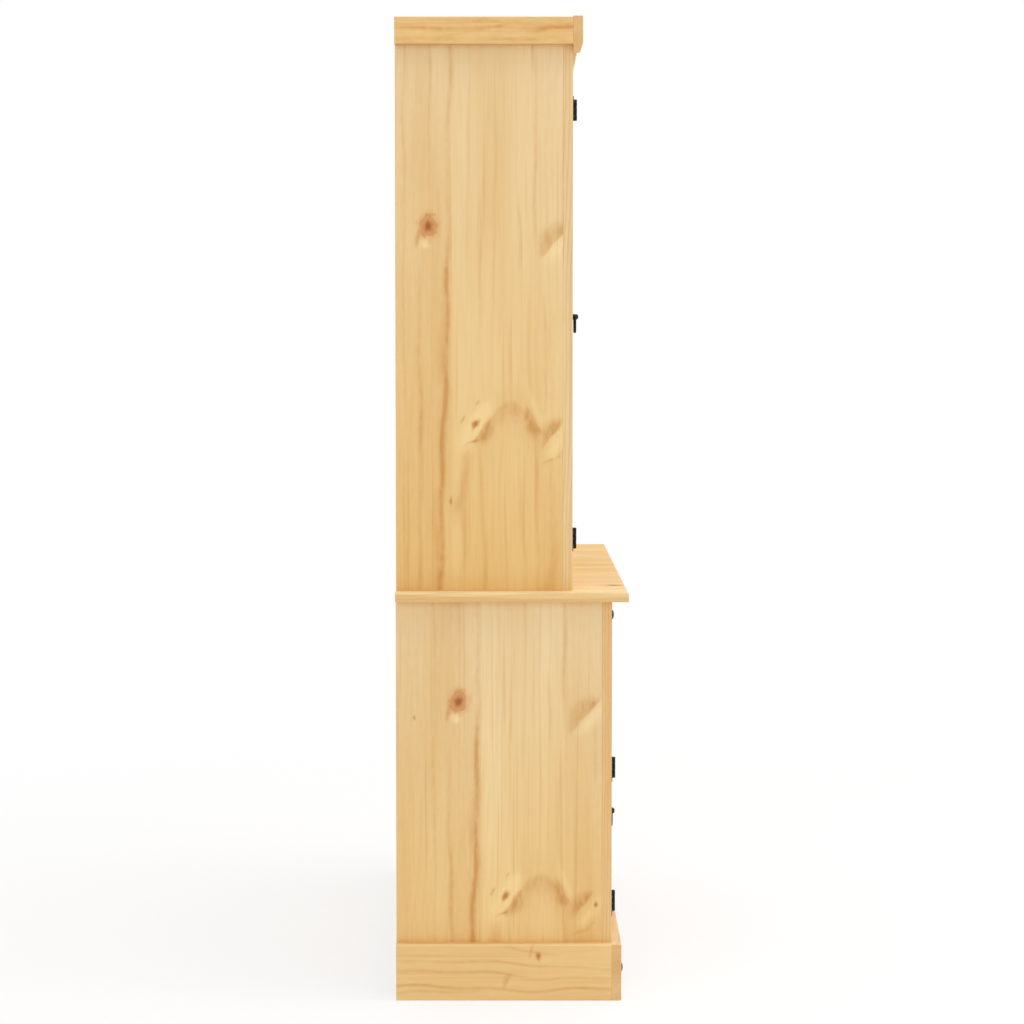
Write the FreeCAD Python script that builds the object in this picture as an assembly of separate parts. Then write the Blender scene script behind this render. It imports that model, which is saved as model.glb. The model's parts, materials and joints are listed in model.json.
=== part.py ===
"""A two-part rustic pine highboard: a glazed hutch on a base cabinet, with black iron fittings.

Millimetres, +Z up. The origin is on the floor under the middle, and the front faces -Y.
"""
import FreeCAD
import Part
import math
import os

Vector = FreeCAD.Vector

# Overall sizes
width = 1120.0
depth = 430.0
worktop_height = 760.0
hutch_height = 1052.0
hutch_depth = 327.0

# Boards
board = 18.0
frame_thickness = 18.0
worktop_thickness = 18.0
worktop_edge_radius = 4.0
back_thickness = 6.0
back_rabbet = 10.0
plank_pitch = 94.0
plank_groove = 3.0

# How far the boards stand past each other
worktop_side_overhang = 18.0
worktop_front_overhang = 30.0
hutch_side_setback = 18.0
frame_rise = 2.0

# Plinth and cornice
plinth_height = 105.0
plinth_thickness = 18.0
plinth_foot = 95.0
plinth_arch_rise = 34.0
cornice_thickness = 18.0
cornice_side_height = 49.0
cornice_end_height = 66.5
cornice_end_length = 8.0
cornice_arch_rise = 32.0
cornice_bevel_depth = 5.5
cornice_bevel_height = 18.0
ogee_turn = math.radians(58.0)

# Face frames
stile_width = 45.0
mullion_width = 40.0
niche_width = 422.0
base_top_rail = 54.0
base_middle_rail = 26.0
base_bottom_rail = 30.0
base_sill_reveal = 12.0
drawer_opening = 181.0
hutch_bottom_rail = 38.0
hutch_top_rail = 109.0

# Shelves
shelf_setback = 20.0
hutch_shelf_shares = (1 / 3, 2 / 3)
base_shelf_share = 0.5

# Doors
door_gap = 2.0
door_stile = 46.0
door_rail = 55.0
panel_tongue = 6.0
panel_groove = 8.0
panel_setback = 3.0
panel_bevel = 26.0
glass_thickness = 3.0
glass_groove = 6.0
glass_setback = 9.0
bar_width = 14.0
bar_setback = 4.0
bar_shares = (1 / 3, 2 / 3)
catch_length = 34.0
catch_reach = 22.0
catch_depth = 14.0
catch_gap = 0.4
catch_drop = 70.0

# Drawers
drawer_bevel = 16.0
drawer_bevel_depth = 4.0
drawer_side = 12.0
drawer_box_setback = 4.0
drawer_floor = 6.0
drawer_floor_rise = 8.0
drawer_floor_groove = 5.0
drawer_back_gap = 24.0
drawer_top_gap = 17.0
runner_clearance = 0.4
guide_clearance = 1.0
guide_height = 24.0
kicker_height = 22.0
kicker_cover = 12.0

# Butterfly hinges, with their barrels in front of the faces
hinge_inset = 54.0
hinge_height = 39.0
barrel_radius = 4.0
barrel_standoff = 4.5
hinge_pin_radius = 1.6
pin_clearance = 0.05
knuckle_gap = 0.3
knuckle_count = 3
leaf_thickness = 1.8
leaf_reach = 30.0
leaf_clearance = 0.4
leaf_wing_height = 46.0
leaf_neck_height = 27.0
leaf_point = 3.0
leaf_neck_share = 0.35

# Drop pulls on the doors
pull_from_edge = 27.0
hutch_pull_rise = 19.0
base_pull_rise = 2.0
pull_plate_width = 24.0
pull_plate_height = 66.0
pull_plate_thickness = 1.8
plate_shoulder_share = 0.42
plate_neck_level_share = 0.6
plate_neck_share = 0.4
post_width = 10.6
post_reach = 17.0
post_head = 3.0
post_head_share = 0.6
pull_axis_reach = 10.2
drop_thickness = 5.6
drop_pin_radius = 1.6
drop_slot_clearance = 0.6
drop_ear = 4.1
drop_ear_rise = 2.4
drop_slot_depth = 13.0
drop_shoulder = 14.0
drop_belly_share = 0.9
drop_belly_level_share = 0.62
drop_length = 31.5

# Bail pulls on the drawers
bail_plate_width = 104.0
bail_plate_height = 26.0
bail_post_spacing = 64.0
bail_post_width = 9.0
bail_post_reach = 10.0
bail_post_head = 2.2
bail_axis_reach = 6.2
bail_bar = 4.8
bail_stub_radius = 1.5
bail_stub_grip = 6.0
bail_side_clearance = 1.0
bail_drop = 27.0
bail_outer_bend = 9.0
bail_bend_share = 2 - math.sqrt(2)

# Round-headed iron studs
stud_radius = 9.0
stud_height = 4.2
stud_crown_share = 0.55

# Allowance for cuts
overrun = 5.0

# Planes across the depth, from the front to the back
back = depth / 2
carcass_back = back - back_thickness
worktop_front = -depth / 2
base_face = worktop_front + worktop_front_overhang
base_inner = base_face + frame_thickness
hutch_face = back - hutch_depth
hutch_inner = hutch_face + frame_thickness

# Distances from the middle plane
half_width = width / 2
base_half = half_width - worktop_side_overhang
base_inside = base_half - board
hutch_half = base_half - hutch_side_setback
hutch_inside = hutch_half - board
niche_half = niche_width / 2
bay_inner = niche_half + mullion_width
base_bay_outer = base_half - stile_width
hutch_bay_outer = hutch_half - stile_width
divider_inner = niche_half + (mullion_width - board) / 2
divider_outer = divider_inner + board

# Levels above the floor
worktop_under = worktop_height - worktop_thickness
door_sill = plinth_height + base_sill_reveal
drawer_head = worktop_under - base_top_rail
drawer_sill = drawer_head - drawer_opening
deck_under = drawer_sill - board
door_head = drawer_sill - base_middle_rail
hutch_floor = worktop_height + board
hutch_sill = worktop_height + hutch_bottom_rail
hutch_top = worktop_height + hutch_height
hutch_ceiling = hutch_top - board
frame_top = hutch_top + frame_rise
hutch_head = frame_top - hutch_top_rail

# The drawer box between its guides
box_outer = base_bay_outer - door_gap - drawer_box_setback
box_inner = mullion_width / 2 + door_gap + drawer_box_setback
box_top = drawer_head - drawer_top_gap
box_back = carcass_back - drawer_back_gap
box_floor = drawer_sill + drawer_floor_rise

SIDES = {"left": -1, "right": 1}


def block(xs, ys, zs):
    """A board between two positions on each axis, given in either order."""
    x0, x1 = sorted(xs)
    y0, y1 = sorted(ys)
    z0, z1 = sorted(zs)
    return Part.makeBox(x1 - x0, y1 - y0, z1 - z0, Vector(x0, y0, z0))


def line(start, end):
    return Part.LineSegment(start, end).toShape()


def arc(start, middle, end):
    return Part.Arc(start, middle, end).toShape()


def face_of(edges):
    return Part.Face(Part.Wire(edges))


def polygon(corners):
    return Part.Face(Part.makePolygon(corners + corners[:1]))


def rod(start, direction, radius, length):
    return Part.makeCylinder(radius, length, start, direction)


def mirrored(shape):
    """The same piece on the other side of the middle plane."""
    return shape.mirror(Vector(0, 0, 0), Vector(1, 0, 0))


def pair(shape):
    return [shape, mirrored(shape)]


def side_panel(sign, outer, front, bottom, top):
    """A side board with a rabbet along its back edge for the back panel."""
    panel = block((sign * outer, sign * (outer - board)), (front, back), (bottom, top))
    rabbet = block(
        (sign * (outer - board - overrun), sign * (outer - board + back_rabbet)),
        (carcass_back, back + overrun),
        (bottom - overrun, top + overrun),
    )
    return panel.cut(rabbet)


def plank_grooves(half, bottom, top):
    """V grooves that show the joints between the back's upright planks."""
    count = int(half // plank_pitch)
    grooves = []
    for index in range(-count, count + 1):
        x = index * plank_pitch
        corners = [
            Vector(x - plank_groove, carcass_back, bottom),
            Vector(x + plank_groove, carcass_back, bottom),
            Vector(x, carcass_back + plank_groove, bottom),
        ]
        grooves.append(polygon(corners).extrude(Vector(0, 0, top - bottom)))
    return grooves


def ogee(start, end):
    """Two equal tangent arcs that lead from one level to another in the front plane."""
    rise = end.z - start.z
    direction = math.copysign(1, end.x - start.x)
    radius = abs(rise) / (2 * (1 - math.cos(ogee_turn)))
    middle = (start + end) / 2

    def bend(origin, along, up):
        turned = ogee_turn / 2
        offset = Vector(
            along * radius * math.sin(turned), 0, up * radius * (1 - math.cos(turned))
        )
        return origin + offset

    up = math.copysign(1, rise)
    return [
        arc(start, bend(start, direction, up), middle),
        arc(middle, bend(end, -direction, -up), end),
    ]


def ogee_run(rise):
    """How far an ogee of this rise runs sideways."""
    return rise * math.sin(ogee_turn) / (1 - math.cos(ogee_turn))


def scalloped_edge(half, end_length, bottom, rise, y):
    """A lower edge that is full height at both ends and raised between them."""
    foot = half - end_length
    inner = foot - ogee_run(rise)
    left_end = Vector(-half, y, bottom)
    left_foot = Vector(-foot, y, bottom)
    left_top = Vector(-inner, y, bottom + rise)
    right_top = Vector(inner, y, bottom + rise)
    right_foot = Vector(foot, y, bottom)
    right_end = Vector(half, y, bottom)
    edges = [line(left_end, left_foot)]
    edges += ogee(left_foot, left_top)
    edges.append(line(left_top, right_top))
    edges += ogee(right_top, right_foot)
    edges.append(line(right_foot, right_end))
    return edges


def scalloped_face(half, end_length, bottom, rise, y, closing_level):
    """The face between a scalloped edge and a straight level above or below it."""
    right = Vector(half, y, closing_level)
    left = Vector(-half, y, closing_level)
    edges = scalloped_edge(half, end_length, bottom, rise, y)
    edges.append(line(Vector(half, y, bottom), right))
    edges.append(line(right, left))
    edges.append(line(left, Vector(-half, y, bottom)))
    return face_of(edges)


def fielded(xs, zs, back_plane, edge_plane, front_plane, bevel):
    """A panel whose middle field rises to the front within a sloping border."""
    x0, x1 = sorted(xs)
    z0, z1 = sorted(zs)
    board_part = block(xs, (edge_plane, back_plane), zs)
    raised = Part.makeWedge(
        x0 + bevel, front_plane, z0 + bevel, z0, x0, x1 - bevel, edge_plane, z1 - bevel, z1, x1
    )
    return board_part.fuse(raised).removeSplitter()


def base_carcass():
    """Sides, floor, back, dividers, shelves and the deck that the drawers run on."""
    inner_depth = (base_inner, carcass_back)
    shelf_level = door_sill + base_shelf_share * (deck_under - door_sill)
    shelf_depth = (base_inner + shelf_setback, carcass_back)
    shelf_zs = (shelf_level - board / 2, shelf_level + board / 2)
    divider = block((divider_inner, divider_outer), inner_depth, (door_sill, deck_under))
    side_shelf = block((divider_outer, base_inside), shelf_depth, shelf_zs)
    niche_shelf = block((-divider_inner, divider_inner), inner_depth, shelf_zs)
    rabbet_half = base_inside + back_rabbet
    floor_under = door_sill - board
    return {
        "base_side_left": [side_panel(-1, base_half, base_inner, 0, worktop_under)],
        "base_side_right": [side_panel(1, base_half, base_inner, 0, worktop_under)],
        "base_floor": [block((-base_inside, base_inside), inner_depth, (floor_under, door_sill))],
        "base_back": [
            block((-rabbet_half, rabbet_half), (carcass_back, back), (floor_under, worktop_under))
        ],
        "base_dividers": pair(divider),
        "base_shelves": pair(side_shelf) + [niche_shelf],
        "drawer_deck": [
            block((-base_inside, base_inside), inner_depth, (deck_under, drawer_sill))
        ],
    }


def base_frame():
    """The base's face frame: stiles, mullions and rails."""
    frame_depth = (base_face, base_inner)
    stile = block((base_bay_outer, base_half), frame_depth, (0, worktop_under))
    mullion = block((niche_half, bay_inner), frame_depth, (door_sill, door_head))
    drawer_mullion = block(
        (-mullion_width / 2, mullion_width / 2), frame_depth, (drawer_sill, drawer_head)
    )
    rail_xs = (-base_bay_outer, base_bay_outer)
    levels = [
        (door_sill - base_bottom_rail, door_sill),
        (door_head, drawer_sill),
        (drawer_head, worktop_under),
    ]
    return {
        "base_stiles": pair(stile) + pair(mullion) + [drawer_mullion],
        "base_rails": [block(rail_xs, frame_depth, zs) for zs in levels],
    }


def drawer_guides():
    """Strips beside the drawer boxes that steer them, and kickers that stop them tipping."""
    run = (base_inner, carcass_back)
    guide_zs = (drawer_sill, drawer_sill + guide_height)
    kicker_under = box_top + guide_clearance
    kicker_zs = (kicker_under, kicker_under + kicker_height)
    outer_edge = box_outer + guide_clearance
    inner_edge = box_inner - guide_clearance
    side_guide = block((outer_edge, base_inside), run, guide_zs)
    middle_guide = block((-inner_edge, inner_edge), run, guide_zs)
    side_kicker = block((box_outer - kicker_cover, base_inside), run, kicker_zs)
    middle_reach = box_inner + kicker_cover
    middle_kicker = block((-middle_reach, middle_reach), run, kicker_zs)
    strips = pair(side_guide) + pair(side_kicker) + [middle_guide, middle_kicker]
    return {"drawer_guides": strips}


def worktop():
    """The top board, with its upper edges eased round the front and the two ends."""
    top = block(
        (-half_width, half_width), (worktop_front, back), (worktop_under, worktop_height)
    )

    def shows(edge):
        box = edge.BoundBox
        is_upper = box.ZMin > worktop_under + worktop_thickness / 2
        at_back = box.YMin > 0
        return is_upper and not at_back

    edges = [edge for edge in top.Edges if shows(edge)]
    return {"worktop": [top.makeFillet(worktop_edge_radius, edges)]}


def plinth():
    """The plinth: a front board with an arched foot line, over two straight side boards."""
    outer = base_half + plinth_thickness
    front_face = scalloped_face(
        outer, plinth_foot, 0, plinth_arch_rise, base_face, plinth_height
    )
    front = front_face.extrude(Vector(0, -plinth_thickness, 0))
    side = block((base_half, outer), (base_face, back), (0, plinth_height))
    return {"plinth_front": [front], "plinth_sides": pair(side)}


def cornice():
    """The cornice: a scalloped front board with a sloped lower edge, over two side boards."""
    outer = hutch_half + cornice_thickness
    bottom = frame_top - cornice_end_height
    shape = (outer, cornice_end_length, bottom, cornice_arch_rise)
    front = scalloped_face(*shape, hutch_face, frame_top).extrude(
        Vector(0, -cornice_thickness, 0)
    )
    slope_start = hutch_face - cornice_thickness + cornice_bevel_depth
    below = scalloped_face(*shape, slope_start, bottom - cornice_bevel_height - overrun)
    slope = below.extrude(Vector(0, -cornice_bevel_depth, cornice_bevel_height))
    side = block(
        (hutch_half, outer), (hutch_face, back), (hutch_top - cornice_side_height, hutch_top)
    )
    return {"cornice_front": [front.cut(slope)], "cornice_sides": pair(side)}


def hutch_carcass():
    """Sides, top, floor, planked back, dividers and shelves of the hutch."""
    inner_depth = (hutch_inner, carcass_back)
    span = (-hutch_inside, hutch_inside)
    rabbet_half = hutch_inside + back_rabbet
    back_panel = block(
        (-rabbet_half, rabbet_half), (carcass_back, back), (worktop_height, hutch_top)
    )
    for groove in plank_grooves(hutch_inside, worktop_height, hutch_top):
        back_panel = back_panel.cut(groove)
    divider = block((divider_inner, divider_outer), inner_depth, (hutch_floor, hutch_ceiling))
    shelf_depth = (hutch_inner + shelf_setback, carcass_back)
    shelves = []
    for share in hutch_shelf_shares:
        level = hutch_floor + share * (hutch_ceiling - hutch_floor)
        zs = (level - board / 2, level + board / 2)
        shelves += pair(block((divider_outer, hutch_inside), shelf_depth, zs))
        shelves.append(block((-divider_inner, divider_inner), shelf_depth, zs))
    return {
        "hutch_side_left": [side_panel(-1, hutch_half, hutch_inner, worktop_height, hutch_top)],
        "hutch_side_right": [side_panel(1, hutch_half, hutch_inner, worktop_height, hutch_top)],
        "hutch_top": [block(span, inner_depth, (hutch_ceiling, hutch_top))],
        "hutch_floor": [block(span, inner_depth, (worktop_height, hutch_floor))],
        "hutch_back": [back_panel],
        "hutch_dividers": pair(divider),
        "hutch_shelves": shelves,
    }


def hutch_frame():
    """The hutch's face frame: stiles, mullions and rails."""
    frame_depth = (hutch_face, hutch_inner)
    stile = block((hutch_bay_outer, hutch_half), frame_depth, (worktop_height, frame_top))
    mullion = block((niche_half, bay_inner), frame_depth, (hutch_sill, hutch_head))
    rail_xs = (-hutch_bay_outer, hutch_bay_outer)
    levels = [(worktop_height, hutch_sill), (hutch_head, frame_top)]
    return {
        "hutch_stiles": pair(stile) + pair(mullion),
        "hutch_rails": [block(rail_xs, frame_depth, zs) for zs in levels],
    }


def door_catches():
    """Small catch blocks on the dividers that the doors close against."""
    places = [(base_inner, door_head), (hutch_inner, hutch_head)]
    blocks = []
    for inner_plane, head in places:
        front = inner_plane + catch_gap
        top = head - catch_drop
        blocks += pair(
            block(
                (divider_outer, divider_outer + catch_reach),
                (front, front + catch_depth),
                (top - catch_length, top),
            )
        )
    return {"door_catches": blocks}


def iron_studs():
    """Round-headed studs on the top rail's joints and along the plinth."""

    def stud(x, plane, z):
        """A low forged head that narrows to a flat crown, with its wide side on the wood."""
        foot = Vector(x, plane, z)
        return Part.makeCone(
            stud_radius, stud_crown_share * stud_radius, stud_height, foot, Vector(0, -1, 0)
        )

    rail_level = worktop_under - base_top_rail / 2
    plinth_level = plinth_height / 2
    plinth_front = base_face - plinth_thickness
    stile_middle = base_half - stile_width / 2
    mullion_middle = niche_half + mullion_width / 2
    studs = [stud(x, base_face, rail_level) for x in (-stile_middle, 0, stile_middle)]
    for x in (stile_middle, mullion_middle):
        studs += pair(stud(x, plinth_front, plinth_level))
    return {"iron_studs": studs}


def leaf_plate(sign):
    """One wing of a butterfly hinge, in front of the plane y = 0, away from the axis at x = 0."""
    inner = barrel_radius + leaf_clearance
    neck = inner + leaf_neck_share * (leaf_reach - inner)
    barrel_half = hinge_height / 2
    neck_half = leaf_neck_height / 2
    wing_half = leaf_wing_height / 2

    def at(x, z):
        return Vector(sign * x, 0, z)

    corners = [
        at(inner, -barrel_half),
        at(inner, barrel_half),
        at(neck, neck_half),
        at(leaf_reach, wing_half),
        at(leaf_reach + leaf_point, 0),
        at(leaf_reach, -wing_half),
        at(neck, -neck_half),
    ]
    return polygon(corners).extrude(Vector(0, -leaf_thickness, 0))


def knuckle(index, sign):
    """One knuckle of the barrel, with the tab that ties it to its wing."""
    pitch = (hinge_height + knuckle_gap) / knuckle_count
    bottom = index * pitch - hinge_height / 2
    height = pitch - knuckle_gap
    barrel = rod(Vector(0, -barrel_standoff, bottom), Vector(0, 0, 1), barrel_radius, height)
    tab = block(
        (0, sign * (barrel_radius + leaf_clearance)),
        (-leaf_thickness, 0),
        (bottom, bottom + height),
    )
    return barrel.fuse(tab)


def hinge_pin(radius):
    start = Vector(0, -barrel_standoff, -hinge_height / 2)
    return rod(start, Vector(0, 0, 1), radius, hinge_height)


def fixed_leaf(sign):
    """The wing on the cabinet, with the outer knuckles and the pin that is riveted in them."""
    leaf = leaf_plate(sign).fuse([knuckle(0, sign), knuckle(knuckle_count - 1, sign)])
    return leaf.fuse(hinge_pin(hinge_pin_radius)).removeSplitter()


def door_leaf(sign):
    """The wing on the door, with the middle knuckle bored to turn on the pin."""
    leaf = leaf_plate(sign).fuse(knuckle(1, sign))
    return leaf.cut(hinge_pin(hinge_pin_radius + pin_clearance)).removeSplitter()


def placed(shape, x, y, z):
    moved = shape.copy()
    moved.translate(Vector(x, y, z))
    return moved


def spear_plate(across, along, thickness, turned):
    """A forged backplate with a spear point at each end, in front of the plane y = 0."""
    half = across / 2
    tip = along / 2
    quarter = [
        (half, plate_shoulder_share * tip),
        (plate_neck_share * half, plate_neck_level_share * tip),
        (0, tip),
    ]
    right = [(x, -z) for x, z in reversed(quarter)] + quarter[:-1]
    outline = right + [(-x, -z) for x, z in right]
    if turned:
        outline = [(z, -x) for x, z in outline]
    face = polygon([Vector(x, 0, z) for x, z in outline])
    return face.extrude(Vector(0, -thickness, 0))


def square_post(across, foot, reach, head):
    """A square forged post that stands out along -Y and ends in a blunt pyramid."""
    half = across / 2
    tip = post_head_share * half
    rim = head - reach
    shank = block((-half, half), (rim, -foot), (-half, half))
    pyramid = Part.makeWedge(-tip, -reach, -tip, -half, -half, tip, rim, tip, half, half)
    return shank.fuse(pyramid).removeSplitter()


def drop_pull_mount():
    """The door pull's backplate and its post, cross-bored for the drop's pin."""
    plate = spear_plate(pull_plate_width, pull_plate_height, pull_plate_thickness, False)
    post = square_post(post_width, pull_plate_thickness, post_reach, post_head)
    bore_start = Vector(-post_width, -pull_axis_reach, 0)
    bore = rod(bore_start, Vector(1, 0, 0), drop_pin_radius + pin_clearance, 2 * post_width)
    return [plate, post.cut(bore)]


def pull_drop():
    """The forged drop: two ears with a pin through the post, over a rounded body."""
    inner = post_width / 2 + drop_slot_clearance
    outer = inner + drop_ear
    ear_middle = (inner + outer) / 2
    belly = drop_belly_share * outer
    belly_level = -drop_shoulder - drop_belly_level_share * (drop_length - drop_shoulder)
    tip = Vector(0, 0, -drop_length)

    def at(x, z):
        return Vector(x, 0, z)

    slot = [
        at(outer, -drop_shoulder),
        at(outer, drop_ear_rise),
        at(inner, drop_ear_rise),
        at(inner, -drop_slot_depth),
        at(-inner, -drop_slot_depth),
        at(-inner, drop_ear_rise),
        at(-outer, drop_ear_rise),
        at(-outer, -drop_shoulder),
    ]
    edges = [line(slot[i], slot[i + 1]) for i in range(len(slot) - 1)]
    edges.append(arc(slot[-1], at(-belly, belly_level), tip))
    edges.append(arc(tip, at(belly, belly_level), slot[0]))
    body = face_of(edges).extrude(Vector(0, -drop_thickness, 0))
    body.translate(Vector(0, drop_thickness / 2 - pull_axis_reach, 0))
    pin_start = Vector(-ear_middle, -pull_axis_reach, 0)
    pin = rod(pin_start, Vector(1, 0, 0), drop_pin_radius, 2 * ear_middle)
    return body.fuse(pin)


def bail_pull_mount():
    """The drawer pull's backplate and its two posts, bored from outside for the bail's ends."""
    plate = spear_plate(bail_plate_height, bail_plate_width, pull_plate_thickness, True)
    post = square_post(bail_post_width, pull_plate_thickness, bail_post_reach, bail_post_head)
    bore_start = Vector(bail_post_width / 2 - bail_stub_grip, -bail_axis_reach, 0)
    bore = rod(
        bore_start, Vector(1, 0, 0), bail_stub_radius + pin_clearance, bail_stub_grip + overrun
    )
    right_post = placed(post.cut(bore), bail_post_spacing / 2, 0, 0)
    return [plate] + pair(right_post)


def pull_bail():
    """A square bar bent into a flat bail, with two stubs that turn in the posts."""
    inner = bail_post_spacing / 2 + bail_post_width / 2 + bail_side_clearance
    outer = inner + bail_bar
    top = bail_bar / 2
    low = top - bail_drop
    arm_middle = (inner + outer) / 2

    def bent(half, floor, bend):
        """One edge of the bar, from its left end across both splayed corners to its right end."""
        left = [(-half, top), (-half, floor + bend), (bend - half, floor)]
        return left + [(-x, z) for x, z in reversed(left)]

    outside = bent(outer, low, bail_outer_bend)
    inside = bent(inner, low + bail_bar, bail_outer_bend - bail_bend_share * bail_bar)
    face = polygon([Vector(x, 0, z) for x, z in outside + inside[::-1]])
    bar = face.extrude(Vector(0, -bail_bar, 0))
    bar.translate(Vector(0, bail_bar / 2 - bail_axis_reach, 0))
    stub_start = Vector(arm_middle, -bail_axis_reach, 0)
    stub_length = bail_bar / 2 + bail_side_clearance + bail_stub_grip - pin_clearance
    stub = rod(stub_start, Vector(-1, 0, 0), bail_stub_radius, stub_length)
    return bar.fuse(pair(stub))


def door_frame(xs, zs, face, insert_y, groove):
    """Two stiles and two rails, grooved for the panel or pane that they hold.

    The grooves run the whole length, and the rails' stub tenons fill them at the corners.
    """
    x0, x1 = sorted(xs)
    z0, z1 = zs
    ys = (face, face + frame_thickness)
    opening_xs = (x0 + door_stile, x1 - door_stile)
    hold_xs = (opening_xs[0] - groove, opening_xs[1] + groove)
    hold_zs = (z0 + door_rail - groove, z1 - door_rail + groove)
    hold = block(hold_xs, insert_y, hold_zs)
    channel = block(hold_xs, insert_y, (z0 - overrun, z1 + overrun))
    stiles = [block((x0, opening_xs[0]), ys, zs), block((opening_xs[1], x1), ys, zs)]
    pieces = [stile.cut(channel) for stile in stiles]
    corners = [
        ((z0, z0 + door_rail), (z0, hold_zs[0])),
        ((z1 - door_rail, z1), (hold_zs[1], z1)),
    ]
    for rail_zs, tenon_zs in corners:
        rail = block(opening_xs, ys, rail_zs).cut(hold)
        tenon = block(hold_xs, insert_y, tenon_zs)
        pieces.append(rail.fuse(tenon).removeSplitter())
    return pieces, hold


def door_fittings(prefix, sign, xs, zs, face, pull_rise):
    """The hinge wings, backplate and drop of one door, and the matching wings on the cabinet."""
    inner_edge, outer_edge = xs
    z0, z1 = zs
    axis_x = sign * (outer_edge + door_gap / 2)
    levels = (z0 + hinge_inset, z1 - hinge_inset)
    pull_x = sign * (inner_edge + pull_from_edge)
    pull_z = (z0 + z1) / 2 + pull_rise
    fixed = [placed(fixed_leaf(sign), axis_x, face, z) for z in levels]
    nodes = {
        prefix + "_door_hinges": [placed(door_leaf(-sign), axis_x, face, z) for z in levels],
        prefix + "_pull_plate": [
            placed(piece, pull_x, face, pull_z) for piece in drop_pull_mount()
        ],
        prefix + "_pull_drop": [placed(pull_drop(), pull_x, face, pull_z)],
    }
    return nodes, fixed


def base_doors():
    """Two framed doors with fielded panels, hung on the outer stiles of the base."""
    xs = (bay_inner + door_gap, base_bay_outer - door_gap)
    zs = (door_sill + door_gap, door_head - door_gap)
    tongue_front = base_face + (frame_thickness - panel_tongue) / 2
    tongue_ys = (tongue_front, tongue_front + panel_tongue)
    field_front = base_face + panel_setback
    nodes = {"base_hinge_leaves": []}
    for side, sign in SIDES.items():
        prefix = "base_" + side
        door_xs = (sign * xs[0], sign * xs[1])
        frame, hold = door_frame(door_xs, zs, base_face, tongue_ys, panel_groove)
        field_xs = sorted((sign * (xs[0] + door_stile), sign * (xs[1] - door_stile)))
        field_zs = (zs[0] + door_rail, zs[1] - door_rail)
        field = fielded(
            field_xs, field_zs, tongue_ys[1], tongue_front, field_front, panel_bevel
        )
        nodes[prefix + "_door_frame"] = frame
        nodes[prefix + "_door_panel"] = [hold.fuse(field).removeSplitter()]
        fittings, fixed = door_fittings(prefix, sign, xs, zs, base_face, base_pull_rise)
        nodes.update(fittings)
        nodes["base_hinge_leaves"] += fixed
    return nodes


def hutch_doors():
    """Two glazed doors with glazing bars, hung on the outer stiles of the hutch."""
    xs = (bay_inner + door_gap, hutch_bay_outer - door_gap)
    zs = (hutch_sill + door_gap, hutch_head - door_gap)
    pane_front = hutch_face + glass_setback
    pane_ys = (pane_front, pane_front + glass_thickness)
    opening_zs = (zs[0] + door_rail, zs[1] - door_rail)
    nodes = {"hutch_hinge_leaves": []}
    for side, sign in SIDES.items():
        prefix = "hutch_" + side
        door_xs = (sign * xs[0], sign * xs[1])
        frame, pane = door_frame(door_xs, zs, hutch_face, pane_ys, glass_groove)
        bar_xs = (sign * (xs[0] + door_stile), sign * (xs[1] - door_stile))
        bars = []
        for share in bar_shares:
            level = opening_zs[0] + share * (opening_zs[1] - opening_zs[0])
            bar_zs = (level - bar_width / 2, level + bar_width / 2)
            bars.append(block(bar_xs, (hutch_face + bar_setback, pane_front), bar_zs))
        nodes[prefix + "_door_frame"] = frame
        nodes[prefix + "_door_glass"] = [pane]
        nodes[prefix + "_door_bars"] = bars
        fittings, fixed = door_fittings(prefix, sign, xs, zs, hutch_face, hutch_pull_rise)
        nodes.update(fittings)
        nodes["hutch_hinge_leaves"] += fixed
    return nodes


def drawer_box(sign):
    """Two sides and a back round a thin floor that sits in grooves."""
    run = (base_inner, box_back)
    side_zs = (drawer_sill + runner_clearance, box_top)
    inside = (box_inner + drawer_side, box_outer - drawer_side)
    floor = block(
        (sign * (inside[0] - drawer_floor_groove), sign * (inside[1] + drawer_floor_groove)),
        run,
        (box_floor, box_floor + drawer_floor),
    )
    near = block((sign * box_inner, sign * inside[0]), run, side_zs)
    far = block((sign * inside[1], sign * box_outer), run, side_zs)
    back_board = block(
        (sign * inside[0], sign * inside[1]),
        (box_back - drawer_side, box_back),
        (box_floor + drawer_floor, box_top),
    )
    return [near.cut(floor), far.cut(floor), back_board, floor]


def drawers():
    """Two drawers side by side, each with a fielded front and a bail pull."""
    xs = (mullion_width / 2 + door_gap, base_bay_outer - door_gap)
    zs = (drawer_sill + door_gap, drawer_head - door_gap)
    pull_z = (zs[0] + zs[1] + bail_drop - bail_bar) / 2
    edge_plane = base_face + drawer_bevel_depth
    nodes = {}
    for side, sign in SIDES.items():
        prefix = side + "_drawer"
        front_xs = sorted((sign * xs[0], sign * xs[1]))
        pull_x = sum(front_xs) / 2
        nodes[prefix + "_front"] = [
            fielded(front_xs, zs, base_inner, edge_plane, base_face, drawer_bevel)
        ]
        nodes[prefix + "_box"] = drawer_box(sign)
        nodes[prefix + "_pull_plate"] = [
            placed(piece, pull_x, base_face, pull_z) for piece in bail_pull_mount()
        ]
        nodes[prefix + "_pull_bail"] = [placed(pull_bail(), pull_x, base_face, pull_z)]
    return nodes


def all_nodes():
    nodes = {}
    for make in (
        base_carcass,
        base_frame,
        drawer_guides,
        worktop,
        plinth,
        cornice,
        hutch_carcass,
        hutch_frame,
        door_catches,
        iron_studs,
        base_doors,
        hutch_doors,
        drawers,
    ):
        nodes.update(make())
    return nodes


os.makedirs("parts", exist_ok=True)
for name, solids in all_nodes().items():
    shape = solids[0] if len(solids) == 1 else Part.makeCompound(solids)
    shape.exportStep(os.path.join("parts", name + ".step"))
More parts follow.
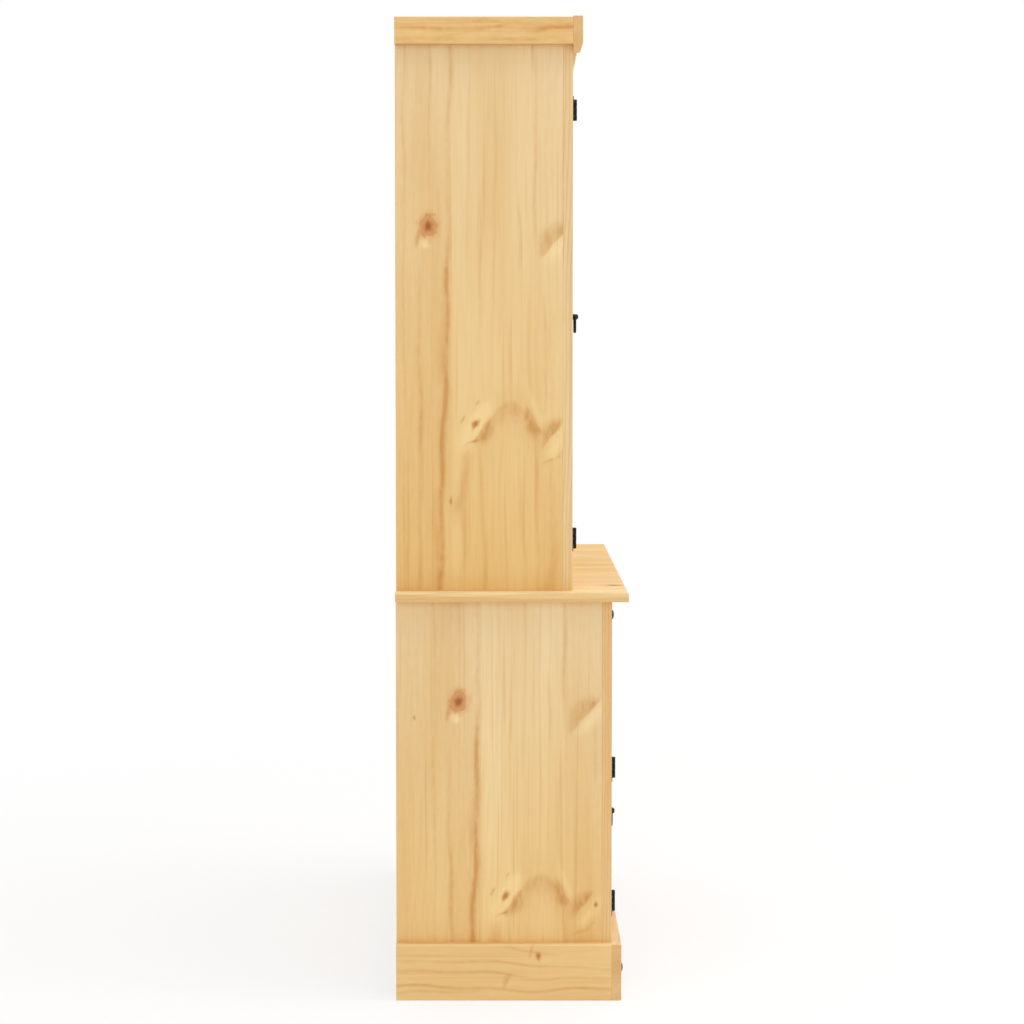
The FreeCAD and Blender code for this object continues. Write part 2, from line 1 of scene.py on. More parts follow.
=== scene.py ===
"""Looks of a rustic pine highboard: waxed boards, black iron fittings and window glass.

Planes and spans come from the CAD frame and are in millimetres; the meshes are in metres.
"""

import json
import math

import bmesh
import bpy
import numpy as np
from bpy.props import FloatProperty, FloatVectorProperty, PointerProperty
from bpy.types import Operator, Panel, PropertyGroup
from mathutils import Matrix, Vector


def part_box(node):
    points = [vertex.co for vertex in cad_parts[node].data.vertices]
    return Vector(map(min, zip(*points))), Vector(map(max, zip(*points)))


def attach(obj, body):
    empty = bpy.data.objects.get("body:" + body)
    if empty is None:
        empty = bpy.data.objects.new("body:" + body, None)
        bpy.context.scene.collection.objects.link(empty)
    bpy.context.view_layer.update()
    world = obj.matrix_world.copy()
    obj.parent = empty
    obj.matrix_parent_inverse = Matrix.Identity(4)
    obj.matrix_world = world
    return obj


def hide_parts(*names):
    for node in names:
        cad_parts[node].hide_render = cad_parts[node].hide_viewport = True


bl_info = {
    "name": "Pine highboard",
    "version": (1, 0, 0),
    "blender": (4, 5, 0),
    "location": "3D View > Sidebar > Highboard",
    "description": "Builds the boards, fittings and stage of a rustic pine highboard",
    "category": "Object",
}

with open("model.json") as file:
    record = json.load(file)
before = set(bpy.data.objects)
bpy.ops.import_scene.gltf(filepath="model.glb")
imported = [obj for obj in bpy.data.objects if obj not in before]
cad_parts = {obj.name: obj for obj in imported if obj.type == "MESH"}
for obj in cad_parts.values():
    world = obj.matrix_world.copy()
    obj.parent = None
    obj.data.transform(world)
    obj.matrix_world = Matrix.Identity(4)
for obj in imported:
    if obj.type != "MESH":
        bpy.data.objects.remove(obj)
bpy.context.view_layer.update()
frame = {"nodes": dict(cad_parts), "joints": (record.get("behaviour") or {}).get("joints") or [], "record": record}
record = frame["record"]
body_of_node = {n: body for body, nodes in record["behaviour"]["bodies"].items() for n in nodes}
slot_of_node = {part["node"]: part["material_slot"] for part in record["subparts"]}

MM = 0.001
X, Y, Z = 0, 1, 2
SIDES = {"left": -1, "right": 1}
pivots = {
    joint["name"]: [place / MM for place in joint["pos_m"]]
    for joint in frame["joints"]
    if joint.get("pos_m")
}


def spans_of(node):
    """A CAD node's extents along X, Y and Z, in millimetres."""
    return [(low / MM, high / MM) for low, high in zip(*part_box(node))]


def span(node, axis):
    """A CAD node's extent along one axis, in millimetres."""
    return spans_of(node)[axis]


# Planes of the cabinet
BACK = span("worktop", Y)[1]
INNER_BACK = span("hutch_back", Y)[0]
WORKTOP_ZS = span("worktop", Z)
BOARD = WORKTOP_ZS[1] - WORKTOP_ZS[0]
BASE_FRAME = span("base_stiles", Y)
HUTCH_FRAME = span("hutch_stiles", Y)
BASE_DEPTH = (BASE_FRAME[1], INNER_BACK)
HUTCH_DEPTH = (HUTCH_FRAME[1], INNER_BACK)
BASE_SIDE = span("base_side_right", X)
HUTCH_SIDE = span("hutch_side_right", X)
DIVIDER = (span("hutch_dividers", X)[1] - BOARD, span("hutch_dividers", X)[1])
POST = sum(DIVIDER) / 2
DOORS = {level: spans_of(f"{level}_right_door_frame") for level in ("base", "hutch")}
DRAWER = spans_of("right_drawer_front")

# Widths that the boxes of the nodes don't give
STILE = 45
MULLION = 40
REVEAL = 2
DOOR_STILE = 46
DOOR_RAIL = 55
BAR_HEIGHT = 14
SHELF_SETBACK = 20
GUIDE_WIDTH = 32
GUIDE_HEIGHT = 24
MIDDLE_GUIDE = 50
KICKER_WIDTH = 45
KICKER_HEIGHT = 22
MIDDLE_KICKER = 76
CATCH_CLEARANCE = 0.4
CATCH_DEPTH = 14
CATCH_HEIGHT = 34
PLANK_PITCH = 94
PLANK_GROOVE = 2.6
DRAWER_WALL = 12
DRAWER_FLOOR = 6
DRAWER_FLOOR_RAISE = 7.6
DRAWER_GROOVE = 5
RABBET = 10
RABBET_STEP = 0.03
TIGHT_JOINT = 0.3
WORKTOP_BOARDS = 10
WORKTOP_ROUND = 4
PLINTH_ROUND = 3.2

# Spacing of the lines over a figured board, and how near to its tip a point is end grain
GRID = 2.5
END_FACE = 0.01

# Where boards were cut from their trees: along the trunk, beside the pith and out from it
CUT_LOW = (-3000, -45, 35)
CUT_HIGH = (3000, 45, 120)

# Iron fittings, whose edges stay crisp where they turn by more than the sharp angle
SHARP = math.radians(38)
LEAF = 1.8
PLATE_ROUND = 0.8
SCREW = 2.9
WING_HALF = 23
BARREL = 4
BARREL_HALF = 19.5
KNUCKLE_HALF = 6.4
KNUCKLE_GAP = 0.3
STUD = 9
STUD_HEIGHT = 4.2

# Figure of the wide side boards, in the hutch side's own across (Y) and along (Z).
# Knots: across, along, half sizes across and along, lean to the front in degrees, depth.
# Streaks: across at the top and at the foot, top, foot, half width, strength.
# Flames: across, along, half length, half width, lean, strength. A negative width puts the
# flame on the front side of its sharp edge.
# Swirls, which are pale: across, along, half length, half width, lean, strength.
# Arches: across, top, half width, drop at the ends, half thickness, strength.
# Glue lines: across, and how much darker the wood is beyond, seen from 0.
# Sway: how many times further than on the side boards a streak wavers.
SIDE_FIGURE = {
    "knots": (
        (154, 1432, 15.0, 18.5, 25, 1.0),
        (67, 1069, 5.0, 9.0, 32, 0.92),
        (-101, 1053, 3.5, 5.0, 0, 0.8),
        (236, 1403, 2.5, 5.0, 0, 0.6),
        (113, 926, 3.5, 9.0, 0, 0.55),
    ),
    "streaks": (
        (117, 134, 1395, 740, 4.4, 0.9),
        (114, 117, 1800, 1440, 4.0, 0.4),
        (119, 138, 1330, 740, 9.0, 0.35),
        (152, 151, 1790, 1470, 2.5, 0.35),
        (170, 168, 1330, 740, 4.0, 0.5),
        (-41, -43, 1800, 1400, 3.5, 0.4),
        (-46, -48, 1010, 740, 3.0, 0.4),
        (54, 62, 1500, 1180, 2.5, 0.35),
        (30, 33, 1640, 1300, 2.5, 0.25),
        (80, 84, 1660, 1380, 2.5, 0.25),
        (-12, -14, 1480, 1360, 3.0, 0.3),
        (-31, -33, 1290, 1150, 3.0, 0.35),
        (-59, -62, 1290, 1110, 2.5, 0.35),
        (60, 48, 1020, 740, 4.0, 0.4),
        (88, 96, 1015, 900, 10.0, 0.75),
        (90, 88, 960, 740, 7.0, 0.3),
        (-72, -70, 1000, 740, 9.0, 0.35),
        (-20, -24, 960, 740, 5.0, 0.25),
        (12, 8, 940, 740, 2.5, 0.3),
        (200, 198, 1700, 740, 3.0, 0.25),
        (-98, -98, 1420, 1290, 4.0, 0.3),
    ),
    "flames": (
        (-82, 1405, 48, 30, 42, 0.55),
        (-96, 1420, 18, 12, 42, 0.25),
        (-77, 1050, 35, 22, 39, 0.75),
        (57, 1059, 33, -18, 35, 0.75),
        (36, 1052, 12, 5, 8, 0.3),
        (-42, 1078, 33, 26, -28, 0.55),
        (74, 1034, 14, 4, 66, 0.95),
        (90, 1075, 10, 4, 22, 0.85),
        (63, 1104, 10, 6, 25, 0.55),
        (-76, 1001, 22, 5, 66, 0.35),
        (-92, 1014, 12, 4, 50, 0.35),
        (150, 1452, 10, 4, 84, 0.8),
        (170, 1411, 17, 8, 12, 0.75),
    ),
    "swirls": (
        (68, 1065, 46, 15, 34, 0.9),
        (52, 1091, 20, 8, 28, 0.5),
        (-93, 1400, 36, 10, 42, 0.7),
        (-88, 1035, 30, 9, 36, 0.6),
        (-44, 1096, 26, 5, -20, 0.4),
        (160, 1402, 9, 6, 0, 1.0),
    ),
    "arches": ((3, 1108, 53, 62, 17, 0.48),),
    "glue_lines": ((111, 0.12), (-43, 0.1)),
}
# The base's boards have the same figure, lower and further forward.
BASE_FIGURE_SHIFT = (55, 877)
# The plinth and cornice sides lie on their edge: across is Z and along is Y.
PLINTH_FIGURE = {
    "sway": 3,
    "knots": ((84, -49, 7.0, 4.5, 0, 1.0),),
    "flames": (
        (34, 8, 18, 10, 60, 0.5),
        (93, -38, 14, 5, 70, 0.5),
    ),
    "streaks": (
        (76, 62, 240, -190, 2.0, 0.45),
        (57, 45, 240, -30, 2.5, 0.5),
        (43, 41, -20, -190, 2.0, 0.4),
        (24, 21, 240, -190, 2.5, 0.75),
        (12, 15, 240, 60, 2.5, 0.35),
        (96, 84, 10, -75, 2.5, 0.4),
    ),
    "glue_lines": ((50, 0.1),),
}
CORNICE_FIGURE = {
    "streaks": (
        (1793, 1790, 240, -120, 3.0, 0.45),
        (1776, 1799, 130, 10, 2.5, 0.5),
        (1789, 1793, -40, -120, 4.0, 0.55),
        (1770, 1772, 230, -60, 3.0, 0.35),
        (1803, 1800, 100, -120, 4.0, 0.35),
        (1758, 1757, 240, -120, 5.0, 0.3),
    ),
    # All of the cornice lies beyond its line
    "glue_lines": ((1700, 0.28),),
}


def linear(code):
    """An sRGB hex colour as scene-linear red, green, blue and alpha."""
    parts = [int(code[i : i + 2], 16) / 255 for i in (1, 3, 5)]
    light = [p / 12.92 if p <= 0.04045 else ((p + 0.055) / 1.055) ** 2.4 for p in parts]
    return (*light, 1.0)


def colour(name, description, code):
    """A colour property with an sRGB hex default."""
    return FloatVectorProperty(
        name=name, description=description, subtype="COLOR", size=4, min=0, max=1,
        default=linear(code),
    )


class PineSettings(PropertyGroup):
    """What a user would change about the wood."""

    pale: colour("Early wood", "Wide pale part of each growth ring", "#F3DBAD")
    middle: colour("Middle tone", "Broad darker bands along the boards", "#E8C68F")
    late: colour("Late wood", "Thin dark line at the end of each growth ring", "#CB9D60")
    stain: colour("Streaks", "Resin streaks and the flames beside knots", "#CB9250")
    knot: colour("Knots", "Heart of a knot", "#A05A35")
    halo: colour("Knot halo", "Stained wood round a knot", "#D39A63")
    ring: FloatProperty(
        name="Ring spacing", description="Millimetres between growth rings", default=6.5, min=1
    )
    ease: FloatProperty(
        name="Edge rounding", description="Millimetres eased off each board's edges",
        default=1.2, min=0.4, max=3,
    )


class IronSettings(PropertyGroup):
    """What a user would change about the fittings."""

    black: colour("Black", "Waxed forge scale", "#211D1A")
    # Colour for edges and high spots: partly rubbed wear, partly a painted highlight that shows the shapes
    worn_and_highlit: colour("Worn", "Rubbed high spots and edges", "#5A5046")
    roughness: FloatProperty(
        name="Roughness", description="Mean roughness of the wax", default=0.42, min=0.1, max=0.9,
        subtype="FACTOR",
    )


class StageSettings(PropertyGroup):
    """What a user would change about the floor, light and camera."""

    floor: colour("Floor", "Pale studio floor", "#F4F4F2")
    distance: FloatProperty(
        name="Camera distance", description="From the highboard's middle to the camera",
        default=4.796, min=1, unit="LENGTH",
    )
    height: FloatProperty(
        name="Camera height", description="Above the floor", default=1.188, min=0, unit="LENGTH"
    )
    ambient: FloatProperty(
        name="Ambient light", description="Strength of the white surroundings", default=0.7, min=0
    )


class Shell:
    """Closed surfaces gathered into one mesh, with the fields that the finishes read.

    timber is where a point was in its tree, figure the drawn figure of a wide board, edge is 1
    on rounded edges, end is 1 on end grain, and board is the board's own tone.
    """

    def __init__(self, name, more=0):
        """The name, and a number for more shells of that name, give the random draws."""
        self.points = []
        self.faces = []
        self.fields = {"timber": [], "figure": [], "edge": [], "end": [], "board": []}
        self.count = 0
        seed = sum((i + 1) * ord(letter) for i, letter in enumerate(name))
        self.random = np.random.default_rng(seed + more)

    def add(self, surface, grain=X, figure=None, board=None):
        """Adds one closed surface, cut from its own place in a tree."""
        points, faces, edge = surface
        count = len(points)
        size = np.ptp(points, axis=0)
        across, through = sorted({X, Y, Z} - {grain}, key=lambda axis: -size[axis])
        local = (points - points.mean(0))[:, [grain, across, through]]
        along = points[:, grain]
        tip = np.minimum(along - along.min(), along.max() - along) < END_FACE
        drawn = self.random.uniform(-1, 1)
        shift = self.random.uniform(CUT_LOW, CUT_HIGH)
        self.points.append(points)
        self.faces += [block + self.count for block in faces]
        self.fields["timber"].append(local + shift)
        self.fields["figure"].append(np.zeros((count, 3)) if figure is None else figure)
        self.fields["edge"].append(edge)
        self.fields["end"].append(tip.astype(float))
        self.fields["board"].append(np.full(count, drawn) if board is None else board)
        self.count += count

    def build(self, node, ending, finish=None):
        """Makes the object, which rides on the node's body and stands for the node.

        It has the finish of the node's slot unless another is named. Iron is shaded smooth.
        """
        name = f"{node}_{ending}"
        slot = slot_of_node[node]
        mesh = bpy.data.meshes.new(name)
        faces = [face for block in self.faces for face in block.tolist()]
        mesh.from_pydata(np.concatenate(self.points) * MM, [], faces)
        for field, parts in self.fields.items():
            values = np.concatenate(parts).astype(np.float32)
            kind, key = ("FLOAT_VECTOR", "vector") if values.ndim == 2 else ("FLOAT", "value")
            mesh.attributes.new(field, kind, "POINT").data.foreach_set(key, values.ravel())
        shells = bmesh.new()
        shells.from_mesh(mesh)
        bmesh.ops.recalc_face_normals(shells, faces=shells.faces)
        shells.to_mesh(mesh)
        shells.free()
        if slot == "iron":
            mesh.shade_smooth()
            mesh.set_sharp_from_angle(angle=SHARP)
        mesh.materials.append(finish_of(finish or slot))
        piece = bpy.data.objects.new(name, mesh)
        bpy.context.scene.collection.objects.link(piece)
        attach(piece, body_of_node[node])
        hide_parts(node)


def rectangle(a, b):
    """Corners of a rectangle from its spans on two axes."""
    return [(a[0], b[0]), (a[1], b[0]), (a[1], b[1]), (a[0], b[1])]


def eased(corners, ease, steps=3):
    """A closed outline with each corner replaced by a parabola between its two edges.

    The parabola starts and ends one ease from the corner, which is its control point. Also
    gives how far round its curve each point is, 0 at the ends and 1 in the middle, and the
    shift that draws the outline in by one: for a corner between edges with inward normals n
    and m it is (n + m) / (1 + n.m).
    """
    corners = np.asarray(corners, float)
    after = np.roll(corners, -1, 0) - corners
    area = corners[:, 0] @ after[:, 1] - corners[:, 1] @ after[:, 0]
    after /= np.linalg.norm(after, axis=1)[:, None]
    before = -np.roll(after, 1, 0)
    inward = np.stack([-after[:, 1], after[:, 0]], 1) * math.copysign(1, area)
    earlier = np.roll(inward, 1, 0)
    shift = (inward + earlier) / (1 + (inward * earlier).sum(1))[:, None]
    reach = np.broadcast_to(np.asarray(ease, float), len(corners))[:, None]
    start = (corners + before * reach)[:, None]
    end = (corners + after * reach)[:, None]
    t = np.linspace(0, 1, steps + 1)[None, :, None]
    curve = (1 - t) ** 2 * start + 2 * t * (1 - t) * corners[:, None] + t**2 * end
    turn = np.tile(1 - np.abs(2 * t[0, :, 0] - 1), len(corners))
    return curve.reshape(-1, 2), turn, np.repeat(shift, steps + 1, 0)


def rounded_run(low, high, ease_low, ease_high, steps=3):
    """Stops from low to high, with a quarter round at each end.

    At an angle a round an end, the stop is ease times (1 - sin a) from the end, and the
    section is drawn in by ease times (1 - cos a). Also gives how far round each stop is.
    """
    angle = np.linspace(math.pi / 2, 0, steps + 1)
    rise = 1 - np.sin(angle)
    inset = 1 - np.cos(angle)
    bend = np.sin(2 * angle)
    stops = np.concatenate([low + ease_low * rise, high - ease_high * rise[::-1]])
    insets = np.concatenate([ease_low * inset, ease_high * inset[::-1]])
    return stops, insets, np.concatenate([bend, bend[::-1]])


def ring_faces(count, size):
    """Quads between rings of points that follow each other, and the two end faces."""
    index = np.arange(count * size).reshape(count, size)
    onward = np.roll(index, -1, 1)
    quads = np.stack([index[:-1], onward[:-1], onward[1:], index[1:]], -1).reshape(-1, 4)
    return [quads, index[[0, -1]]]


def carried(section, run, axis):
    """An eased section in the plane across an axis, carried along that axis.

    At each stop the section is drawn in by the stop's inset.
    """
    outline, turn, shift = section
    stops, insets, bend = run
    points = np.empty((len(stops), len(outline), 3))
    points[..., [a for a in (X, Y, Z) if a != axis]] = outline + insets[:, None, None] * shift
    points[..., axis] = stops[:, None]
    edge = np.maximum(turn, bend[:, None])
    return points.reshape(-1, 3), ring_faces(len(stops), len(outline)), edge.reshape(-1)


def revolved(profile, origin, axis, count=24):
    """A profile of radii and heights turned round an axis through the origin.

    A point at angle a lies at its radius times (cos a, sin a) across the axis and at its
    height along it. The first and last rings are closed by flat faces.
    """
    profile = np.asarray(profile, float)
    axis = np.asarray(axis, float)
    side = np.roll(axis, 1)
    angle = np.arange(count) * 2 * math.pi / count
    spoke = np.cos(angle)[:, None] * side + np.sin(angle)[:, None] * np.cross(axis, side)
    points = profile[:, 0, None, None] * spoke + profile[:, 1, None, None] * axis + origin
    edge = np.zeros(len(profile) * count)
    return points.reshape(-1, 3), ring_faces(len(profile), count), edge


def bent_bar(path, half, ease):
    """A square bar with eased corners whose middle line follows a path in an upright plane.

    One side of the section lies along Y and the other along the path's normal in the plane.
    """
    forward = np.gradient(path, axis=0)
    forward /= np.linalg.norm(forward, axis=1)[:, None]
    across = np.cross(forward, (0, 1, 0))
    outline, turn, _ = eased(rectangle((-half, half), (-half, half)), ease, 2)
    points = path[:, None] + outline[:, :1] * across[:, None] + outline[:, 1:] * np.eye(3)[Y]
    edge = np.broadcast_to(turn, points.shape[:2])
    return points.reshape(-1, 3), ring_faces(*points.shape[:2]), edge.reshape(-1)


def grid_faces(index):
    """Quads between the points of a grid."""
    quads = [index[:-1, :-1], index[1:, :-1], index[1:, 1:], index[:-1, 1:]]
    return np.stack(quads, -1).reshape(-1, 4)


def relief(axes, across, along, outer, inner, edge):
    """A board whose outer face is a height over a grid of across and along lines.

    The inner face is straight along the board, with one height for each across line.
    """
    a, l, n = axes
    rows, columns = outer.shape
    grid = np.empty((rows, columns, 3))
    under = np.empty((rows, 2, 3))
    for points, height, lines in ((grid, outer, along), (under, inner[:, None], along[[0, -1]])):
        points[..., a] = across[:, None]
        points[..., l] = lines
        points[..., n] = height
    index = np.arange(rows * columns).reshape(rows, columns)
    rim = index.size + np.arange(2 * rows).reshape(rows, 2)
    ends = [np.stack([index[:, i], rim[:, i]], 1) for i in (0, -1)]
    faces = [grid_faces(part) for part in (index, rim, *ends)]
    faces.append(np.concatenate([index, rim[:, ::-1]], 1)[[0, -1]])
    points = np.concatenate([grid.reshape(-1, 3), under.reshape(-1, 3)])
    return points, faces, np.concatenate([edge.reshape(-1), np.zeros(2 * rows)])


def grid_lines(low, high, rounds, step, more=()):
    """Lines from low to high: close together over the rounds at both ends, then even steps."""
    bend = np.array([0, 0.08, 0.3, 0.62, 1.0])
    start = low + rounds[0] * bend
    end = high - rounds[1] * bend
    even = np.arange(start[-1] + step, end[-1] - step / 2, step)
    return np.unique(np.concatenate([start, even, more, end]))


def round_over(distance, radius):
    """How far a quarter round lies below its plane, at a distance from the edge."""
    near = np.clip(1 - distance / radius, 0, 1)
    return radius * (1 - np.sqrt(1 - near**2))


def soft_step(value, low, high):
    """0 below low, 1 above high and a smooth cubic between them."""
    t = np.clip((value - low) / (high - low), 0, 1)
    return t * t * (3 - 2 * t)


def leaning(across, along, centre, lean):
    """Distances from a centre, along a line that leans to the front by an angle, and across it."""
    angle = math.radians(lean)
    da = across - centre[0]
    dl = along - centre[1]
    return dl * math.cos(angle) - da * math.sin(angle), da * math.cos(angle) + dl * math.sin(angle)


def drawn_figure(table, across, along):
    """Growth, stain and knot distance over a board, from a table of its figure.

    Growth is the across distance, swayed by waves of 1.6 m and 0.6 m and pushed out round each
    knot. Stain adds up the streaks, the flames, the arches and the glued boards' own tones,
    less the pale swirls. A streak wavers over 380 mm and 140 mm and ebbs over 350 mm. A flame
    is the half of an upright box that lies beyond its leaning diagonal, which is its sharp
    edge. Knot is the distance in radii to the nearest knot.
    """
    growth = across + 9 * np.sin(along / 260 + across / 90) + 4 * np.sin(along / 97 + 1.3)
    stain = np.zeros_like(across)
    knot = np.full_like(across, 9.0)
    for a, l, half_a, half_l, lean, depth in table.get("knots", ()):
        t, s = leaning(across, along, (a, l), lean)
        around = np.arctan2(t, s)
        ragged = 1 + 0.07 * np.sin(2 * around + a) + 0.06 * np.sin(5 * around + l)
        knot = np.minimum(knot, np.hypot(s / half_a, t / half_l) * ragged + 0.9 * (1 - depth))
        push = np.exp(-((along - l) / (6 * half_l)) ** 2 - np.abs(across - a) / (5 * half_a))
        growth = growth - 16 * push * np.tanh((across - a) / half_a)
    for top_a, foot_a, top, foot, half, strength in table.get("streaks", ()):
        middle = foot_a + (top_a - foot_a) * (along - foot) / (top - foot)
        sway = half * table.get("sway", 1)
        middle = middle + sway * (0.5 * np.sin(along / 61 + top_a) + 0.3 * np.sin(along / 23))
        fade = min(60, (top - foot) / 4)
        ends = soft_step(along, foot - fade, foot + fade)
        ends = ends * (1 - soft_step(along, top - fade, top + fade))
        ebb = 0.75 + 0.25 * np.sin(along / 55 + 2 * top_a)
        stain = stain + strength * ends * ebb * np.exp(-(((across - middle) / half) ** 2))
    for a, l, length, half, lean, strength in table.get("flames", ()):
        t, s = leaning(across, along, (a, l), lean)
        inside = math.copysign(1, half) * s + np.sin(t / 6)
        angle = math.radians(abs(lean))
        high = (along - l) / (length * max(math.cos(angle), 0.5))
        wide = (across - a) / (length * max(math.sin(angle), 0.5))
        corner = np.exp(-(high**6) - wide**6 - (np.maximum(inside, 0) / half) ** 4)
        stain = stain + strength * corner * soft_step(inside, -2, 2)
    for a, l, length, half, lean, strength in table.get("swirls", ()):
        t, s = leaning(across, along, (a, l), lean)
        stain = stain - strength * np.exp(-((t / length) ** 4) - (s / half) ** 2)
    for a, top, half, drop, thick, strength in table.get("arches", ()):
        offset = (across - a) / half
        below = top - drop * offset**2 - along
        inside = np.exp(-(np.abs(offset) ** 7))
        band = soft_step(below, -thick / 2, thick / 2) * np.exp(-np.maximum(below, 0) / (2 * thick))
        glow = np.exp(-((below / (2 * thick)) ** 2))
        stain = stain + strength * inside * (band + 0.35 * glow)
    for a, tone in table.get("glue_lines", ()):
        stain = stain + tone * soft_step((across - a) * math.copysign(1, a), -2, 2)
    return np.stack([growth, stain, knot], -1)


def add_board(shell, grain, spans, ease):
    """A straight board: its eased section is carried along the grain and rounded at both ends."""
    section = [spans[axis] for axis in (X, Y, Z) if axis != grain]
    run = rounded_run(*spans[grain], ease, ease)
    shell.add(carried(eased(rectangle(*section), ease), run, grain), grain)


def mirrored(spans):
    """Spans of the same board on the other side of the middle plane."""
    return [(-spans[0][1], -spans[0][0]), *spans[1:]]


def turned_to(sign):
    """What turns a right-hand board's spans to the side with that sign."""
    return mirrored if sign < 0 else list


def add_fielded(shell, xs, zs, planes, bevel, grain):
    """A board with a raised field: its rectangle carried forward and drawn in over the bevel.

    Planes are the back, the foot of the slope and the front.
    """
    back, foot, front = planes
    crisp = 0.6
    section = eased(rectangle(xs, zs), crisp)
    stops = np.array([back, back - crisp, foot + crisp, foot, front + crisp / 2, front, front])
    insets = np.array([crisp, 0, 0, crisp, bevel - 2 * crisp, bevel - crisp, bevel + crisp])
    bend = np.array([0.6, 0, 0, 0.8, 0.5, 1.0, 0.2])
    shell.add(carried(section, (stops, insets, bend), Y), grain)


def add_figured(shell, sign, xs, axes, spans, rounds, table, shift, gold):
    """A wide board on an end of the cabinet: a relief with the figure of a table over it.

    Rounds are the radii at the low and high across edges and at the two ends; gold is how
    golden the wood is at the two ends. An upright board has a rabbet for the back panel.
    """
    upright = axes[0] == Y
    a_span, l_span = spans
    step = centred(RABBET_STEP, INNER_BACK) if upright else ()
    across = grid_lines(*a_span, rounds[:2], GRID, step)
    along = grid_lines(*l_span, (rounds[2], rounds[2]), GRID)
    a, l = np.meshgrid(across, along, indexing="ij")
    drops = [round_over(a - a_span[0], rounds[0]), round_over(a_span[1] - a, rounds[1])]
    drops.append(round_over(np.minimum(l - l_span[0], l_span[1] - l), rounds[2]))
    drop = np.max(drops, axis=0)
    rabbet = RABBET * (upright & (across > INNER_BACK))
    surface = relief(axes, across, along, sign * (xs[1] - drop), sign * (xs[0] + rabbet), drop > 0)
    figure = drawn_figure(table, a + shift[0], l + shift[1])
    tone = np.interp(l, l_span, gold)
    ends = [0, -1]
    figure = np.concatenate([figure.reshape(-1, 3), figure[:, ends].reshape(-1, 3)])
    tone = np.concatenate([tone.reshape(-1), tone[:, ends].reshape(-1)])
    shell.add(surface, axes[1], figure, tone)


def scalloped(half, end_length, bottom, rise, top, ease, turn=math.radians(58), steps=9):
    """A board's face with a scalloped lower edge: lowest at both ends and raised between.

    Each rise is two equal arcs, of radius rise / (2 (1 - cos turn)), that meet in the middle
    at the angle turn. The four outer corners are eased, and the arcs' points hardly at all.
    """
    radius = rise / (2 * (1 - math.cos(turn)))
    angle = np.linspace(0, turn, steps)
    first = radius * np.stack([np.sin(angle), 1 - np.cos(angle)], 1)
    ogee = np.concatenate([first, (2 * first[-1] - first[::-1])[1:]])
    left = ogee + (end_length - half, bottom)
    right = left[::-1] * (-1, 1)
    outer = [(half, bottom), (half, top), (-half, top), (-half, bottom)]
    corners = np.concatenate([left, right, outer])
    reach = np.full(len(corners), 0.5)
    reach[-len(outer) :] = ease
    outline, bend, shift = eased(corners, reach, 2)
    return outline, 0 * bend, shift


def add_plate(shell, outline, plane, ease=0.9):
    """A forged plate in front of a plane: its outline carried forward and rounded over."""
    run = rounded_run(plane - LEAF, plane, PLATE_ROUND, PLATE_ROUND / 8, 2)
    shell.add(carried(eased(outline, ease), run, Y))


def add_screw(shell, x, plane, z, lean):
    """A slotted round screw head on a plane: a square grid squeezed into a dome with a slot.

    A point (u, v) of the square goes to (u sqrt(1 - v*v/2), v sqrt(1 - u*u/2)). Its height is
    the wall's and the dome's, less the slot's depth where v is near 0.
    """
    half_u = np.array([0.2, 0.6, 0.92, 1.0])
    half_v = np.array([0.17, 0.2, 0.55, 0.9, 1.0])
    wall, dome, slot = 0.15, 0.95, 0.55
    lines = [np.concatenate([-half[::-1], half]) for half in (half_u, half_v)]
    u, v = np.meshgrid(*lines, indexing="ij")
    a = u * np.sqrt(1 - v**2 / 2)
    b = v * np.sqrt(1 - u**2 / 2)
    out = np.clip(a**2 + b**2, 0, 1)
    rim = np.maximum(np.abs(u), np.abs(v)) < 1
    height = rim * (wall + dome * np.sqrt(1 - 0.97 * out) - slot * (np.abs(v) < 0.18))
    cos, sin = math.cos(math.radians(lean)), math.sin(math.radians(lean))
    places = [x + SCREW * (a * cos - b * sin), plane - height, z + SCREW * (a * sin + b * cos)]
    index = np.arange(u.size).reshape(u.shape)
    border = [*index[:-1, 0], *index[-1, :-1], *index[:0:-1, -1], *index[0, :0:-1]]
    faces = [grid_faces(index), np.array([border])]
    # The dome's outer part counts as edge, so the iron finish paints it lighter: partly wear, partly a painted
    # highlight
    shell.add((np.stack(places, -1).reshape(-1, 3), faces, 0.7 * (out > 0.3).reshape(-1)))


# Kinds of node that come with a setting, each with Blender's name for the node
KINDS = {
    "times": ("Math", {"operation": "MULTIPLY"}),
    "times_plus": ("Math", {"operation": "MULTIPLY_ADD"}),
    "over": ("Math", {"operation": "DIVIDE"}),
    "minus": ("Math", {"operation": "SUBTRACT"}),
    "fraction": ("Math", {"operation": "FRACT"}),
    "below": ("Math", {"operation": "LESS_THAN"}),
    "larger": ("Math", {"operation": "MAXIMUM"}),
    "stretch": ("VectorMath", {"operation": "MULTIPLY"}),
    "offset": ("VectorMath", {"operation": "SUBTRACT"}),
    "length": ("VectorMath", {"operation": "LENGTH"}),
    "mix": ("Mix", {"data_type": "RGBA"}),
    "tint": ("Mix", {"data_type": "RGBA", "blend_type": "MULTIPLY"}),
    "fade": ("MapRange", {"interpolation_type": "SMOOTHSTEP"}),
    "cells": ("TexVoronoi", {"voronoi_dimensions": "2D"}),
    "dents": ("TexVoronoi", {"feature": "SMOOTH_F1"}),
}


